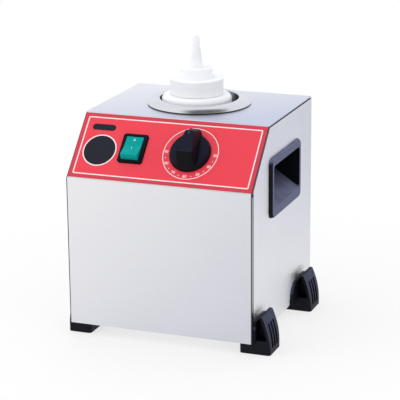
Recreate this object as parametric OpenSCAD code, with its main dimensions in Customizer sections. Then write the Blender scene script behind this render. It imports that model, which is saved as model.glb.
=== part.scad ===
// Countertop warmer that keeps one squeeze bottle of topping hot in a heated well.
// X runs to the right, Y to the back and Z up, all in millimetres.
// The origin lies on the ground under the middle of the overall box.

/* [Casing] */
// Width across the two side panels
casing_w = 190; // [180:1:230]
// Depth of the sheet metal from front to back
casing_d = 186.6; // [182:0.2:240]
// Height of the sheet metal without the feet
casing_h = 203; // [200:1:260]
// Height of the upright front panel
front_h = 148.4; // [130:0.2:160]
// Horizontal run of the sloping control panel
slope_run = 52.2; // [48:0.2:60]
// Thickness of the stainless sheet
sheet_t = 1; // [0.8:0.1:1.5]
// Outer radius of the two long bends of the front sheet
bend_r = 3; // [2:0.5:5]
// Width of the front sheet's return along each upright edge
return_w = 3.8; // [2:0.2:8]
// Open line between the front sheet and each side panel
seam_w = 1.4; // [0.8:0.1:2.5]
// Width of the folded flanges inside the casing
flange_w = 12; // [9:1:16]
// Clearance round a panel that drops in beside another one
panel_gap = 0.3; // [0.2:0.1:1]
// Length of a vent slot
vent_l = 26; // [12:1:34]
// Width of a vent slot
vent_w = 3; // [2:0.5:5]
// Pitch from one vent slot to the next
vent_pitch = 8; // [7:0.5:12]
// Number of vent slots in a row
vent_count = 7; // [3:1:9]

/* [Control label] */
// Thickness of the printed label
label_t = 0.3; // [0.2:0.1:0.6]
// Bare metal left beside the label at each side
label_edge = 0.7; // [0.3:0.1:4]
// Bare metal left between the front bend and the label
label_low_edge = 1.9; // [1.8:0.1:5]
// Bare metal left between the label and the top bend
label_top_edge = 1.5; // [1.4:0.1:5]

/* [Rocker switch] */
// Distance of the switch from the middle of the slope, negative to the left
switch_x = -35; // [-60:0.5:-30]
// Height of the switch's middle, measured up the slope
switch_v = 37.6; // [34:0.2:42]
// Width of the switch's bezel
bezel_w = 25.8; // [25:0.1:30]
// Length of the switch's bezel
bezel_l = 32; // [31:0.1:36]
// Thickness of the switch's bezel
bezel_t = 2; // [1.8:0.1:3]
// Width of the switch's body behind the panel
switch_body_w = 21.6; // [21:0.1:23]
// Length of the switch's body behind the panel
switch_body_l = 27.6; // [27.4:0.1:29]
// Depth of the switch's body behind the panel
switch_body_d = 20; // [14:0.5:28]
// Clearance round the switch's body in the panel's cut-out
switch_cut_gap = 0.2; // [0.1:0.1:0.5]
// Width of the rocker
rocker_w = 17.3; // [14:0.1:18]
// Radius of the rocker's ends about its pivot
rocker_r = 12.6; // [10:0.1:12.8]
// Clearance round the rocker in its pocket
rocker_gap = 0.25; // [0.2:0.05:0.4]
// Height of the rocker's pivot above the panel
rocker_pivot_h = -0.5; // [-1:0.05:0]
// Height of the rocker's waist above its pivot
rocker_waist_h = 4.15; // [3.5:0.05:5]
// Angle at which each half of the rocker rises from its waist
rocker_dish = 6; // [3:0.5:10]
// Angle from level to either position of the rocker
rocker_tilt = 12; // [8:0.5:14]
// Radius of the rocker's pivot pins
rocker_pin_r = 1.4; // [1:0.1:1.6]

/* [Thermostat] */
// Distance of the knob from the middle of the slope
knob_x = 24; // [10:0.5:40]
// Height of the knob's middle, measured up the slope
knob_v = 38.4; // [34:0.2:42]
// Radius of the knob's skirt
skirt_r = 20.7; // [18:0.1:24]
// Height of the skirt at its edge
skirt_h = 5; // [4:0.1:7]
// Height of the flat top of the grip above the panel
grip_h = 18; // [14:0.5:24]
// Half width of the grip's top at its broad end
grip_broad = 8; // [6:0.1:9]
// Half width of the grip's top at its nose
grip_nose = 4; // [3:0.1:5]
// Reach of the pointer nose from the knob's axis
nose_reach = 24; // [20:0.2:26]
// Clearance under the knob
knob_lift = 0.6; // [0.4:0.1:1.5]
// Radius of the thermostat's shaft
shaft_r = 3; // [2.5:0.1:4]
// Running clearance round the shaft
shaft_gap = 0.05; // [0.02:0.01:0.1]
// Width of the thermostat's body
stat_w = 36; // [32:1:40]
// Depth of the thermostat's body behind the panel
stat_d = 20; // [16:1:22]
// Distance between the thermostat's two fixing screws
stat_screw_pitch = 28; // [25:1:30]
// Radius of the thermostat's sensing bulb
bulb_r = 3; // [2.5:0.1:4]
// Length of the thermostat's sensing bulb
bulb_l = 56; // [40:1:70]
// Depth of the bulb's upper end below the top panel
bulb_drop = 23; // [21:1:30]
// Radius of the capillary tube
capillary_r = 0.9; // [0.6:0.1:1.2]

/* [Well] */
// Distance of the well's axis to the left of the casing's middle
well_left = 2.2; // [0:0.1:6]
// Distance of the well's axis behind the middle of the casing
well_y = 27.5; // [20:0.5:35]
// Inner radius of the well
well_r = 39.8; // [38:0.1:42]
// Height of the well's floor above the bottom of the casing
well_floor_h = 29; // [25:1:53]
// Wall thickness of the well
well_t = 1; // [0.8:0.1:1.5]
// Outer radius of the well's rolled rim
rim_r = 52; // [50:0.1:56]
// Height of the rolled rim above the top panel
rim_h = 6.3; // [5:0.1:8]
// Radius of the rim's rolled section
rim_roll_r = 10.5; // [9:0.1:12]
// Thickness of the seal under the rim
seal_t = 1; // [0.6:0.1:2]
// Width of the seal under the rim
seal_w = 5; // [4:0.1:6]
// Clearance round the well in the top panel
well_hole_gap = 2.2; // [1:0.1:3]
// Small clearance between round pieces that lie against the well
wrap_gap = 0.25; // [0.1:0.05:0.5]
// Gap between the heater band and the thermostat's bulb above it
heater_bulb_gap = 8; // [3:1:33]
// Thickness of the heater band
heater_t = 2; // [1.5:0.1:3]
// Height of the heater band's lower edge above the well's underside
heater_lift = 18; // [10:1:24]
// Thickness of the insulation sleeve
insulation_t = 9; // [6:0.5:11]
// Height of the clamp ring under the top panel
clamp_ring_h = 12; // [8:0.5:14]

/* [Bottle] */
// Radius of the bottle
bottle_r = 35; // [30:0.1:36]
// Distance of the bottle's axis to the left of the well's axis
bottle_shift = 2.7; // [0:0.1:3]
// Wall thickness of the bottle
bottle_t = 1.4; // [1:0.1:2]
// Height of the shoulder's top above the top panel
shoulder_h = 10; // [5:0.1:30]
// Radius of the bottle's shoulder
shoulder_r = 5.5; // [4:0.1:9]
// Outer radius of the bottle's neck
neck_r = 24; // [20:0.1:25]
// Height of the bottle's neck
neck_h = 14.2; // [10:0.1:20]
// Clearance between the bottle's neck and the cap
cap_gap = 0.3; // [0.2:0.1:0.5]
// Wall thickness of the cap's collar
collar_t = 2.4; // [1.5:0.1:3.5]
// Thickness of the cap's sealing ring
liner_t = 1; // [0.6:0.1:2]
// Thickness of the cap's flat walls
cap_t = 1.3; // [1:0.1:2]
// Radius of the step on top of the cap
tier_r = 16.2; // [12:0.1:18]
// Height of the step on top of the cap
tier_h = 10; // [6:0.1:14]
// Radius of the spout at its foot
spout_foot_r = 6; // [5:0.1:8]
// Radius of the spout where it narrows
spout_mid_r = 4.2; // [3.6:0.1:5]
// Radius of the spout at its tip
spout_tip_r = 3; // [2.8:0.1:3.4]
// Height of the spout's lower part
spout_low_h = 19; // [10:0.5:30]
// Height of the spout's tip part
spout_high_h = 12; // [6:0.5:20]
// Radius of the hole in the spout's tip
spout_hole_r = 1.6; // [1:0.1:2]

/* [Carrying handles] */
// Length of a handle's frame
handle_l = 95; // [80:1:110]
// Height of a handle's frame
handle_h = 59.8; // [54:0.2:66]
// Height of a handle's middle above the bottom of the casing
handle_z = 140.2; // [125:0.2:150]
// Distance of a handle's middle behind the middle of the casing
handle_y = 3.5; // [-5:0.5:10]
// Distance that a handle's frame stands proud of the side
handle_proud = 3.3; // [2:0.1:5]
// Width of the chamfer at a handle's front and rear
handle_chamfer = 2.8; // [0.5:0.1:4]
// Corner radius of a handle's frame
handle_corner = 6.5; // [4:0.5:9]
// Width of a handle's frame at its front and rear, chamfer included
handle_end_rim = 7.1; // [6:0.1:9]
// Width of a handle's frame at its top
handle_top_rim = 7.8; // [5:0.1:9]
// Width of a handle's frame below its finger ramp
handle_low_rim = 9.7; // [6:0.1:12]
// Depth of a handle's recess behind the side
handle_depth = 26; // [18:0.5:28]
// Rise of the finger ramp from the lip to the back of the recess
ramp_rise = 20; // [10:0.5:22]
// Wall thickness of a handle's recess
handle_t = 2; // [1.5:0.1:3]
// Clearance round a handle's recess in the side panel
handle_gap = 0.5; // [0.3:0.1:1]

/* [Feet] */
// Height of the feet under the casing
foot_h = 11; // [8:0.5:20]
// Length of a foot from front to back
foot_l = 31; // [26:0.5:40]
// Height of a right foot's outer wing above the ground
wing_h = 38; // [30:0.5:50]
// Height of a left foot's outer wing above the ground
left_wing_h = 22; // [16:0.5:30]
// Distance of the front feet behind the front panel
foot_front_set = 3.8; // [1:0.1:20]
// Distance of the rear feet ahead of the back edge
foot_rear_set = 21; // [2:0.5:40]
// Distance that a right foot stands out from the side
right_foot_out = 17.2; // [14:0.1:22]
// Distance that a right foot reaches in under the casing
right_foot_in = 14; // [13:0.5:20]
// Distance that a left foot stands out from the side
left_foot_out = 3.8; // [3:0.1:8]
// Distance that a left foot reaches in under the casing
left_foot_in = 20; // [13:0.5:26]
// Thickness of the flange between a right foot's wing and the side
foot_flange_t = 2.5; // [2:0.1:4]
// Height of the flange's top above the ground
flange_top = 32.5; // [30:0.5:34]
// Distance that the flange reaches past the wing towards the casing's corner
foot_flange_over = 1; // [0.5:0.1:3.7]
// Distance that the flange runs on towards the middle of the side
foot_flange_run = 16.7; // [6:0.1:18]
// Depth of the ribbed panel in a right foot's wing
rib_depth = 1.3; // [0.8:0.1:1.6]
// Width of a rib in a foot's wing
rib_w = 2.2; // [1.5:0.1:3]
// Depth of the hollow in each end of a right foot's wing
hollow_depth = 12; // [2:0.5:13]
// Wall left outside that hollow
wing_wall = 2.6; // [2.4:0.1:6]

/* [Cable gland and fasteners] */
// Distance of the cable gland to the right of the middle
gland_x = 58; // [40:1:70]
// Height of the cable gland above the bottom of the casing
gland_z = 28; // [24:1:40]
// Radius of the cable hole through the gland
cable_hole_r = 4; // [3:0.1:4.5]
// Radius of the gland's thread
gland_r = 7.6; // [7:0.1:9]
// Width across the flats of the gland's hexagons
gland_hex = 22; // [20:0.5:26]
// Radius of a foot screw
foot_screw_r = 2; // [1.5:0.1:2.5]
// Radius of a rear cover screw
cover_screw_r = 1.75; // [1.5:0.05:2]
// Radial clearance of a screw in its hole
screw_gap = 0.1; // [0.05:0.05:0.3]

/* [Hidden] */
$fn = 64;

// Colours as they look in even light
steel_colour = "#d6d8de";
bright_steel_colour = "#e2e4ea";
label_colour = "#e64a5e";
black_colour = "#1b1b21";
teal_colour = "#00a99d";
white_colour = "#f3f3f5";
brass_colour = "#c9a350";
ceramic_colour = "#e8e2d6";
copper_colour = "#b87348";
wool_colour = "#e3dcc6";
silicone_colour = "#c4553a";

// Casing section in the Y-Z plane
half_w = casing_w / 2;
half_d = casing_d / 2;
z_low = foot_h;
z_fold = z_low + front_h;
z_top = z_low + casing_h;
slope_rise = casing_h - front_h;
slope_a = atan2(slope_rise, slope_run);
slope_l = norm([slope_run, slope_rise]);
slope_out = [-sin(slope_a), cos(slope_a)];
z_well_floor = z_low + well_floor_h;
z_well_under = z_well_floor - well_t;

// Overall box, whose bottom centre is the origin
gland_flange_t = 5;
gland_nut_l = 15;
gland_reach = gland_flange_t + gland_nut_l;
reach_right = half_w + max(right_foot_out, handle_proud);
reach_left = half_w + max(left_foot_out, handle_proud);
origin_x = (reach_right - reach_left) / 2;
origin_y = gland_reach / 2;

// Corner points of the casing section, moved inward by i
function fold_front(i) = [-half_d + i, z_fold - i * (1 - sin(slope_a)) / cos(slope_a)];
function fold_top(i) = [-half_d + slope_run + i * (1 - cos(slope_a)) / sin(slope_a), z_top - i];
low_bend = fold_front(bend_r);
high_bend = fold_top(bend_r);

// Moves a piece from the casing's middle to the part's own frame
module placed() {
    translate([-origin_x, -origin_y, 0])
        children();
}

// Stands on the slope: X to the right, Y up the slope, Z straight out of it
module on_slope(x, v) {
    translate([x, -half_d, z_fold])
        rotate([slope_a, 0, 0])
            translate([0, v, 0])
                children();
}

module at_well() {
    translate([-well_left, well_y, 0])
        children();
}

// Extrudes a shape drawn in Y-Z from x0 to x1
module along_x(x0, x1) {
    translate([x0, 0, 0])
        rotate([90, 0, 90])
            linear_extrude(x1 - x0)
                children();
}

// Extrudes a shape drawn in X-Z from y0 to y1
module along_y(y0, y1) {
    translate([0, y1, 0])
        rotate([90, 0, 0])
            linear_extrude(y1 - y0)
                children();
}

module box(from, to) {
    translate(from)
        cube(to - from);
}

module rounded(w, l, r) {
    square([w - 2 * r, l], center = true);
    square([w, l - 2 * r], center = true);
    for (sx = [-1, 1])
        for (sy = [-1, 1])
            translate([sx * (w / 2 - r), sy * (l / 2 - r)])
                circle(r);
}

module ring(r_in, r_out) {
    difference() {
        circle(r_out);
        circle(r_in);
    }
}

module hexagon(flats, bore_r) {
    difference() {
        circle(flats / 2 / cos(30), $fn = 6);
        circle(bore_r);
    }
}

// Casing section moved inward by i, with its own back and bottom edges
module section(i, back, bottom) {
    r = bend_r - i;
    bends = r > 0
        ? [[-half_d + i, low_bend.y], low_bend + slope_out * r, high_bend + slope_out * r, [high_bend.x, z_top - i]]
        : [fold_front(i), fold_top(i)];
    polygon(concat([[-half_d + i, bottom]], bends, [[back, z_top - i], [back, bottom]]));
    if (r > 0)
        for (bend = [low_bend, high_bend])
            translate(bend)
                circle(r);
}

// Strip of sheet that follows the section from inset i to inset j
module section_strip(i, j, back, bottom) {
    difference() {
        section(i, back, bottom);
        section(j, back + 1, bottom - 1);
    }
}

function row(count, pitch) = [for (k = [0 : count - 1]) (k - (count - 1) / 2) * pitch];

// Front sheet: one sheet bent over front, slope and top

cover_screw_row_x = [-half_w * 0.62, 0, half_w * 0.62];
cover_screw_inset = flange_w * 0.55;
inner_x = half_w - flange_w - panel_gap;

module switch_cut() {
    square([switch_body_w + 2 * switch_cut_gap, switch_body_l + 2 * switch_cut_gap], center = true);
}

module front_sheet() {
    color(steel_colour)
        placed()
            difference() {
                union() {
                    along_x(-half_w, half_w)
                        section_strip(0, sheet_t, half_d - sheet_t, z_low);
                    front_returns();
                    front_low_flange();
                    top_rear_flange();
                }
                at_well()
                    translate([0, 0, z_top - 2 * sheet_t])
                        cylinder(h = 3 * sheet_t, r = well_r + well_t + well_hole_gap, $fn = 128);
                on_slope(switch_x, switch_v)
                    translate([0, 0, -2 * sheet_t])
                        linear_extrude(3 * sheet_t)
                            switch_cut();
                on_slope(knob_x, knob_v)
                    stat_holes(2 * sheet_t);
                cover_screw_holes(cover_screw_r + screw_gap / 2, z_top - sheet_t - cover_screw_inset);
            }
}

// Short returns that wrap the front sheet round its upright edges
module front_returns() {
    for (x = [-half_w, half_w - sheet_t])
        box([x, -half_d + sheet_t / 2, z_low], [x + sheet_t, -half_d + return_w, z_fold - bend_r]);
}

module front_low_flange() {
    box([-inner_x, -half_d + sheet_t / 2, z_low + sheet_t], [inner_x, -half_d + flange_w, z_low + 2 * sheet_t]);
}

module top_rear_flange() {
    box([-inner_x, half_d - 2 * sheet_t, z_top - sheet_t - flange_w], [inner_x, half_d - sheet_t, z_top - sheet_t / 2]);
}

module cover_screw_holes(r, z) {
    for (x = cover_screw_row_x)
        translate([x, half_d + sheet_t, z])
            rotate([90, 0, 0])
                cylinder(h = 4 * sheet_t, r = r, $fn = 32);
}

// Shaft hole and two screw holes of the thermostat, cut through to depth
module stat_holes(depth) {
    translate([0, 0, -depth])
        cylinder(h = 2 * depth, r = shaft_r + 2.5);
    for (side = [-1, 1])
        translate([side * stat_screw_pitch / 2, 0, -depth])
            cylinder(h = 2 * depth, r = stat_screw_r + screw_gap, $fn = 32);
}

// Side panels: outer plate, a step under the front sheet, and folded flanges

// Outline of the plate inside its open line, moved inward by i
module side_outline(i, back, bottom) {
    intersection() {
        section(sheet_t + seam_w + i, back, bottom);
        translate([-half_d + return_w + seam_w + i, bottom])
            square([casing_d, casing_h]);
    }
}

module side_panel() {
    plate_x = half_w - sheet_t;
    back_y = half_d - sheet_t;
    floor_z = z_low + sheet_t;
    front_y = -half_d + return_w + seam_w;
    difference() {
        union() {
            along_x(plate_x, half_w)
                side_outline(0, half_d, z_low);
            along_x(plate_x - sheet_t / 2, plate_x + sheet_t / 2)
                difference() {
                    side_outline(sheet_t * 0.2, back_y, floor_z);
                    side_outline(sheet_t * 0.8, half_d, z_low);
                }
            along_x(plate_x - sheet_t, plate_x)
                difference() {
                    section(sheet_t * 1.3, back_y, floor_z);
                    side_outline(sheet_t, half_d, z_low);
                }
            along_x(half_w - flange_w, plate_x)
                section_strip(sheet_t, 2 * sheet_t, back_y, floor_z);
            box([half_w - flange_w, -half_d + sheet_t, floor_z], [plate_x, back_y, floor_z + sheet_t]);
            box([half_w - flange_w, front_y, floor_z], [plate_x + sheet_t / 2, back_y, floor_z + sheet_t]);
            box([half_w - flange_w, back_y - sheet_t, floor_z], [plate_x + sheet_t / 2, back_y, z_top - 3 * sheet_t]);
        }
        translate([0, handle_y, z_low + handle_z + handle_cut_shift])
            along_x(half_w - 3 * sheet_t, half_w + sheet_t)
                rounded(cup_l + 2 * handle_gap, cup_h + 2 * handle_gap, handle_cut_corner);
        for (y = foot_ys)
            translate([half_w - foot_screw_in, y, z_low])
                cylinder(h = 3 * sheet_t, r = foot_screw_r + screw_gap, $fn = 32);
    }
}

module side_panel_right() {
    color(steel_colour)
        placed()
            side_panel();
}

module side_panel_left() {
    color(steel_colour)
        placed()
            mirror([1, 0, 0])
                side_panel();
}

// Base plate: drops in between the side panels, under their flanges

base_x = half_w - sheet_t - panel_gap;

module base_plate() {
    color(steel_colour)
        placed()
            difference() {
                union() {
                    box([-base_x, -half_d + sheet_t + panel_gap, z_low], [base_x, half_d - sheet_t, z_low + sheet_t]);
                    box([-inner_x, half_d - 2 * sheet_t, z_low + sheet_t / 2], [inner_x, half_d - sheet_t, z_low + sheet_t + flange_w]);
                }
                for (x = row(vent_count, vent_pitch))
                    for (y = [-half_d * 0.35, half_d * 0.35])
                        translate([x, y, z_low - sheet_t])
                            linear_extrude(3 * sheet_t)
                                rounded(vent_w, vent_l, vent_w / 2 - 0.01);
                foot_holes(z_low - sheet_t, z_low + 2 * sheet_t);
                cover_screw_holes(cover_screw_r + screw_gap / 2, z_low + sheet_t + cover_screw_inset);
                translate([earth_x, earth_y, z_low - sheet_t])
                    cylinder(h = 3 * sheet_t, r = earth_r + screw_gap, $fn = 32);
            }
}

// Rear cover: flat plate with vents, held by six screws

module rear_cover() {
    color(steel_colour)
        placed()
            difference() {
                along_y(half_d - sheet_t, half_d)
                    difference() {
                        translate([-base_x, z_low + panel_gap])
                            square([2 * base_x, casing_h - sheet_t - 2 * panel_gap]);
                        for (x = row(vent_count, vent_pitch))
                            translate([x, z_low + casing_h * 0.72])
                                rounded(vent_w, vent_l, vent_w / 2 - 0.01);
                        translate([gland_x, z_low + gland_z])
                            circle(gland_r + screw_gap);
                    }
                cover_screw_holes(cover_screw_r + screw_gap, z_top - sheet_t - cover_screw_inset);
                cover_screw_holes(cover_screw_r + screw_gap, z_low + sheet_t + cover_screw_inset);
            }
}

module rear_cover_screws() {
    head_t = 1.6;
    color(bright_steel_colour)
        placed()
            for (x = cover_screw_row_x)
                for (z = [z_top - sheet_t - cover_screw_inset, z_low + sheet_t + cover_screw_inset])
                    translate([x, half_d, z])
                        rotate([-90, 0, 0]) {
                            translate([0, 0, -8])
                                cylinder(h = 8.01, r = cover_screw_r, $fn = 32);
                            difference() {
                                cylinder(h = head_t, r = cover_screw_r * 2, $fn = 32);
                                translate([0, 0, head_t])
                                    cube([cover_screw_r * 3, 0.8, head_t], center = true);
                                translate([0, 0, head_t])
                                    cube([0.8, cover_screw_r * 3, head_t], center = true);
                            }
                        }
}

// Printed label on the slope

module control_label() {
    label_w = casing_w - 2 * label_edge;
    label_l = slope_l - label_low_edge - label_top_edge;
    color(label_colour)
        placed()
            difference() {
                on_slope(0, label_low_edge + label_l / 2)
                    linear_extrude(label_t)
                        square([label_w, label_l], center = true);
                on_slope(switch_x, switch_v)
                    translate([0, 0, -label_t])
                        linear_extrude(3 * label_t)
                            rounded(bezel_w + 2 * switch_cut_gap, bezel_l + 2 * switch_cut_gap, bezel_corner);
                on_slope(knob_x, knob_v)
                    translate([0, 0, -label_t])
                        cylinder(h = 3 * label_t, r = stat_screw_pitch / 2 + stat_head_r + 0.5);
            }
}

// Rocker switch, whose upper half is pressed in

bezel_corner = 2.5;
pocket_w = rocker_w + 2 * rocker_gap;
pocket_half_l = rocker_r + rocker_gap;
pocket_floor = -9;
pin_l = 1.3;

module switch_housing() {
    wing_d = 5;
    wing_out = 1.2;
    color(black_colour)
        placed()
            on_slope(switch_x, switch_v)
                difference() {
                    union() {
                        linear_extrude(bezel_t - 0.6)
                            rounded(bezel_w, bezel_l, bezel_corner);
                        linear_extrude(bezel_t)
                            rounded(bezel_w - 1.2, bezel_l - 1.2, bezel_corner - 0.6);
                        translate([0, 0, -switch_body_d])
                            linear_extrude(switch_body_d + 0.5)
                                square([switch_body_w, switch_body_l], center = true);
                        for (flip = [0, 1])
                            mirror([0, flip, 0])
                                along_x(-4, 4)
                                    polygon([
                                        [switch_body_l / 2 - 0.5, -sheet_t - wing_d],
                                        [switch_body_l / 2, -sheet_t - wing_d],
                                        [switch_body_l / 2 + wing_out, -sheet_t - 0.05],
                                        [switch_body_l / 2 - 0.5, -sheet_t - 0.05]
                                    ]);
                    }
                    box([-pocket_w / 2, -pocket_half_l, pocket_floor], [pocket_w / 2, pocket_half_l, bezel_t + 1]);
                    translate([-pocket_w / 2 - pin_l - 0.1, 0, rocker_pivot_h])
                        rotate([0, 90, 0])
                            cylinder(h = pocket_w + 2 * pin_l + 0.2, r = rocker_pin_r + shaft_gap, $fn = 32);
                }
}

module rocker_section() {
    rise = rocker_r * tan(rocker_dish);
    depth = 5;
    intersection() {
        polygon([
            [-rocker_r, rocker_waist_h + rise],
            [0, rocker_waist_h],
            [rocker_r, rocker_waist_h + rise],
            [rocker_r, -depth],
            [-rocker_r, -depth]
        ]);
        circle(rocker_r, $fn = 128);
    }
}

module switch_rocker() {
    color(teal_colour)
        placed()
            on_slope(switch_x, switch_v)
                translate([0, 0, rocker_pivot_h])
                    rotate([-rocker_tilt, 0, 0]) {
                        along_x(-rocker_w / 2, rocker_w / 2)
                            rocker_section();
                        translate([-rocker_w / 2 - rocker_gap - pin_l, 0, 0])
                            rotate([0, 90, 0])
                                cylinder(h = rocker_w + 2 * rocker_gap + 2 * pin_l, r = rocker_pin_r, $fn = 32);
                    }
}

// Push-on blades of a switch or thermostat
module blade(h) {
    difference() {
        translate([-3.15, -0.4, -h])
            cube([6.3, 0.8, h]);
        translate([0, 1, -h + 3])
            rotate([90, 0, 0])
                cylinder(h = 2, r = 0.9, $fn = 24);
    }
}

module switch_terminals() {
    color(brass_colour)
        placed()
            on_slope(switch_x, switch_v)
                translate([0, 0, -switch_body_d])
                    for (x = [-5.5, 5.5])
                        for (y = [-7, 7])
                            translate([x, y, 0])
                                blade(7.5);
}

// Thermostat, its knob and its sensing bulb

stat_screw_r = 2;
stat_head_r = 3.6;
stat_head_t = 2.2;
shaft_top = grip_h - 5;
flat_x = shaft_r * 0.6;

module shaft_section(r) {
    intersection() {
        circle(r, $fn = 48);
        translate([-2 * r, -r])
            square([2 * r + flat_x + (r - shaft_r), 2 * r]);
    }
}

module thermostat_shaft() {
    color(bright_steel_colour)
        placed()
            on_slope(knob_x, knob_v) {
                translate([0, 0, -sheet_t - stat_d + 6])
                    cylinder(h = sheet_t + stat_d - 6 + knob_lift, r = shaft_r, $fn = 48);
                linear_extrude(shaft_top)
                    shaft_section(shaft_r);
            }
}

knob_hollow_h = 3.4;

module thermostat_knob() {
    color(black_colour)
        placed()
            on_slope(knob_x, knob_v)
                difference() {
                    union() {
                        rotate_extrude($fn = 96)
                            skirt_section();
                        knob_grip();
                    }
                    linear_extrude(shaft_top + 0.2)
                        shaft_section(shaft_r + shaft_gap);
                }
}

module skirt_section() {
    bevel = 1.6;
    hub_r = 6.5;
    inner_r = skirt_r - 2.2;
    polygon([
        [0, knob_lift + 0.6],
        [hub_r, knob_lift + 0.6],
        [hub_r, knob_lift + knob_hollow_h],
        [inner_r, knob_lift + knob_hollow_h],
        [inner_r, knob_lift],
        [skirt_r, knob_lift],
        [skirt_r, skirt_h - 2 * bevel],
        [skirt_r - bevel, skirt_h],
        [skirt_r * 0.5, skirt_h + 0.8],
        [0, skirt_h + 1]
    ]);
}

// Tapered grip with a flat top: each row holds half width, reach and corner radius
module knob_grip() {
    low = knob_lift + knob_hollow_h;
    foot = [
        [nose_low_w, nose_reach, 3.5],
        [grip_broad + 1, nose_reach * 0.68, 3],
        [grip_broad + 3.6, -grip_broad + 4.2, 3.2],
        [grip_broad + 2, -grip_broad - 2, 4.5]
    ];
    top = [
        [grip_nose, nose_reach - 8.5, 1.2],
        [grip_broad, -grip_broad + 2.4, 1.2]
    ];
    hull() {
        for (side = [-1, 1]) {
            for (p = foot)
                grip_corner(side, p, low, 0.5);
            for (p = top)
                grip_corner(side, p, grip_h - 0.5, 0.5);
        }
    }
    hull() {
        for (side = [-1, 1]) {
            grip_corner(side, foot[0], low - 1.4, 3);
            grip_corner(side, [nose_low_w + 1, skirt_r - 1.6, 1.2], low - 1.4, 3);
        }
    }
}

nose_low_w = 7;

// Upright corner whose outer edges lie at the given half width and reach
module grip_corner(side, p, z, h) {
    translate([side * (p.x - p.z), p.y - p.z, z])
        cylinder(h = h, r = p.z, $fn = 24);
}

diaphragm_t = 5;

module thermostat_body() {
    diaphragm_r = 15;
    color(steel_colour)
        placed()
            on_slope(knob_x, knob_v)
                difference() {
                    union() {
                        translate([0, 0, -sheet_t - stat_d])
                            linear_extrude(stat_d)
                                rounded(stat_w, stat_w, 3);
                        translate([0, 0, -sheet_t - stat_d - diaphragm_t])
                            cylinder(h = diaphragm_t + 0.01, r = diaphragm_r);
                        translate([0, 0, -sheet_t - 0.01])
                            cylinder(h = sheet_t + 0.5, r = shaft_r + 2.2);
                    }
                    translate([0, 0, -sheet_t - stat_d + 5])
                        cylinder(h = stat_d + 5, r = shaft_r + shaft_gap, $fn = 48);
                    for (side = [-1, 1])
                        translate([side * stat_screw_pitch / 2, 0, -sheet_t - 9])
                            cylinder(h = 10, r = stat_screw_r + screw_gap, $fn = 32);
                }
}

module thermostat_screws() {
    color(bright_steel_colour)
        placed()
            on_slope(knob_x, knob_v)
                for (side = [-1, 1])
                    translate([side * stat_screw_pitch / 2, 0, 0])
                        difference() {
                            union() {
                                translate([0, 0, -sheet_t - 8])
                                    cylinder(h = sheet_t + 8.01, r = stat_screw_r, $fn = 32);
                                cylinder(h = stat_head_t, r = stat_head_r, $fn = 32);
                            }
                            translate([0, 0, stat_head_t])
                                cube([10, 1, 1.6], center = true);
                        }
}

module thermostat_terminals() {
    color(brass_colour)
        placed()
            on_slope(knob_x, knob_v)
                for (x = [-10, 10])
                    translate([x, -stat_w / 2, -sheet_t - stat_d + 5])
                        rotate([-90, 0, 0])
                            blade(8);
}

// The bulb stands against the well, in a pocket on the front right
bulb_a = -52;
bulb_axis_r = well_r + well_t + wrap_gap + bulb_r;
bulb_high = z_top - bulb_drop;
bulb_low = bulb_high - bulb_l;

module at_bulb() {
    at_well()
        rotate([0, 0, bulb_a])
            translate([bulb_axis_r, 0, 0])
                children();
}

module thermostat_bulb() {
    color(copper_colour)
        placed()
            at_bulb()
                translate([0, 0, bulb_low])
                    cylinder(h = bulb_l, r = bulb_r, $fn = 48);
}

module bulb_pocket() {
    pocket_t = 0.8;
    pocket_l = bulb_l * 0.6;
    color(bright_steel_colour)
        placed()
            difference() {
                at_bulb()
                    translate([0, 0, bulb_low + (bulb_l - pocket_l) / 2])
                        linear_extrude(pocket_l)
                            ring(bulb_r + 0.1, bulb_r + 0.1 + pocket_t);
                at_well()
                    translate([0, 0, bulb_low - 1])
                        cylinder(h = bulb_l + 2, r = well_r + well_t + wrap_gap, $fn = 128);
            }
}

// Round tube swept along a list of points
function unit(v) = v / norm(v);
function tangent(p, k) = unit(p[min(k + 1, len(p) - 1)] - p[max(k - 1, 0)]);
function side_of(t) = unit(cross(t, abs(t.z) > 0.95 ? [1, 0, 0] : [0, 0, 1]));
function tube_ring(p, k, r, n) =
    let (t = tangent(p, k), u = side_of(t), w = cross(t, u))
    [for (i = [0 : n - 1]) p[k] + r * (cos(i * 360 / n) * u + sin(i * 360 / n) * w)];

module tube(p, r, n = 8) {
    last = len(p) - 1;
    points = [for (k = [0 : last]) each tube_ring(p, k, r, n)];
    walls = [
        for (k = [0 : last - 1])
            for (i = [0 : n - 1])
                let (a = k * n + i, b = k * n + (i + 1) % n)
                each [[a, a + n, b], [b, a + n, b + n]]
    ];
    caps = concat(
        [for (i = [1 : n - 2]) [0, i, i + 1]],
        [for (i = [1 : n - 2]) [last * n, last * n + i + 1, last * n + i]]
    );
    polyhedron(points, concat(walls, caps));
}

// Smooth run through hand-chosen points
function spline(a, b, c, d, t) =
    0.5 * (2 * b + (c - a) * t + (2 * a - 5 * b + 4 * c - d) * t * t + (3 * b - a - 3 * c + d) * t * t * t);
function smooth(p, n) =
    let (q = concat([2 * p[0] - p[1]], p, [2 * p[len(p) - 1] - p[len(p) - 2]]))
    concat([for (k = [0 : len(p) - 2], j = [0 : n - 1]) spline(q[k], q[k + 1], q[k + 2], q[k + 3], j / n)],
        [p[len(p) - 1]]);

// Point of the slope's frame in the casing's frame
function slope_point(x, v, h) = [
    x,
    -half_d + v * cos(slope_a) - h * sin(slope_a),
    z_fold + v * sin(slope_a) + h * cos(slope_a)
];

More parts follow.
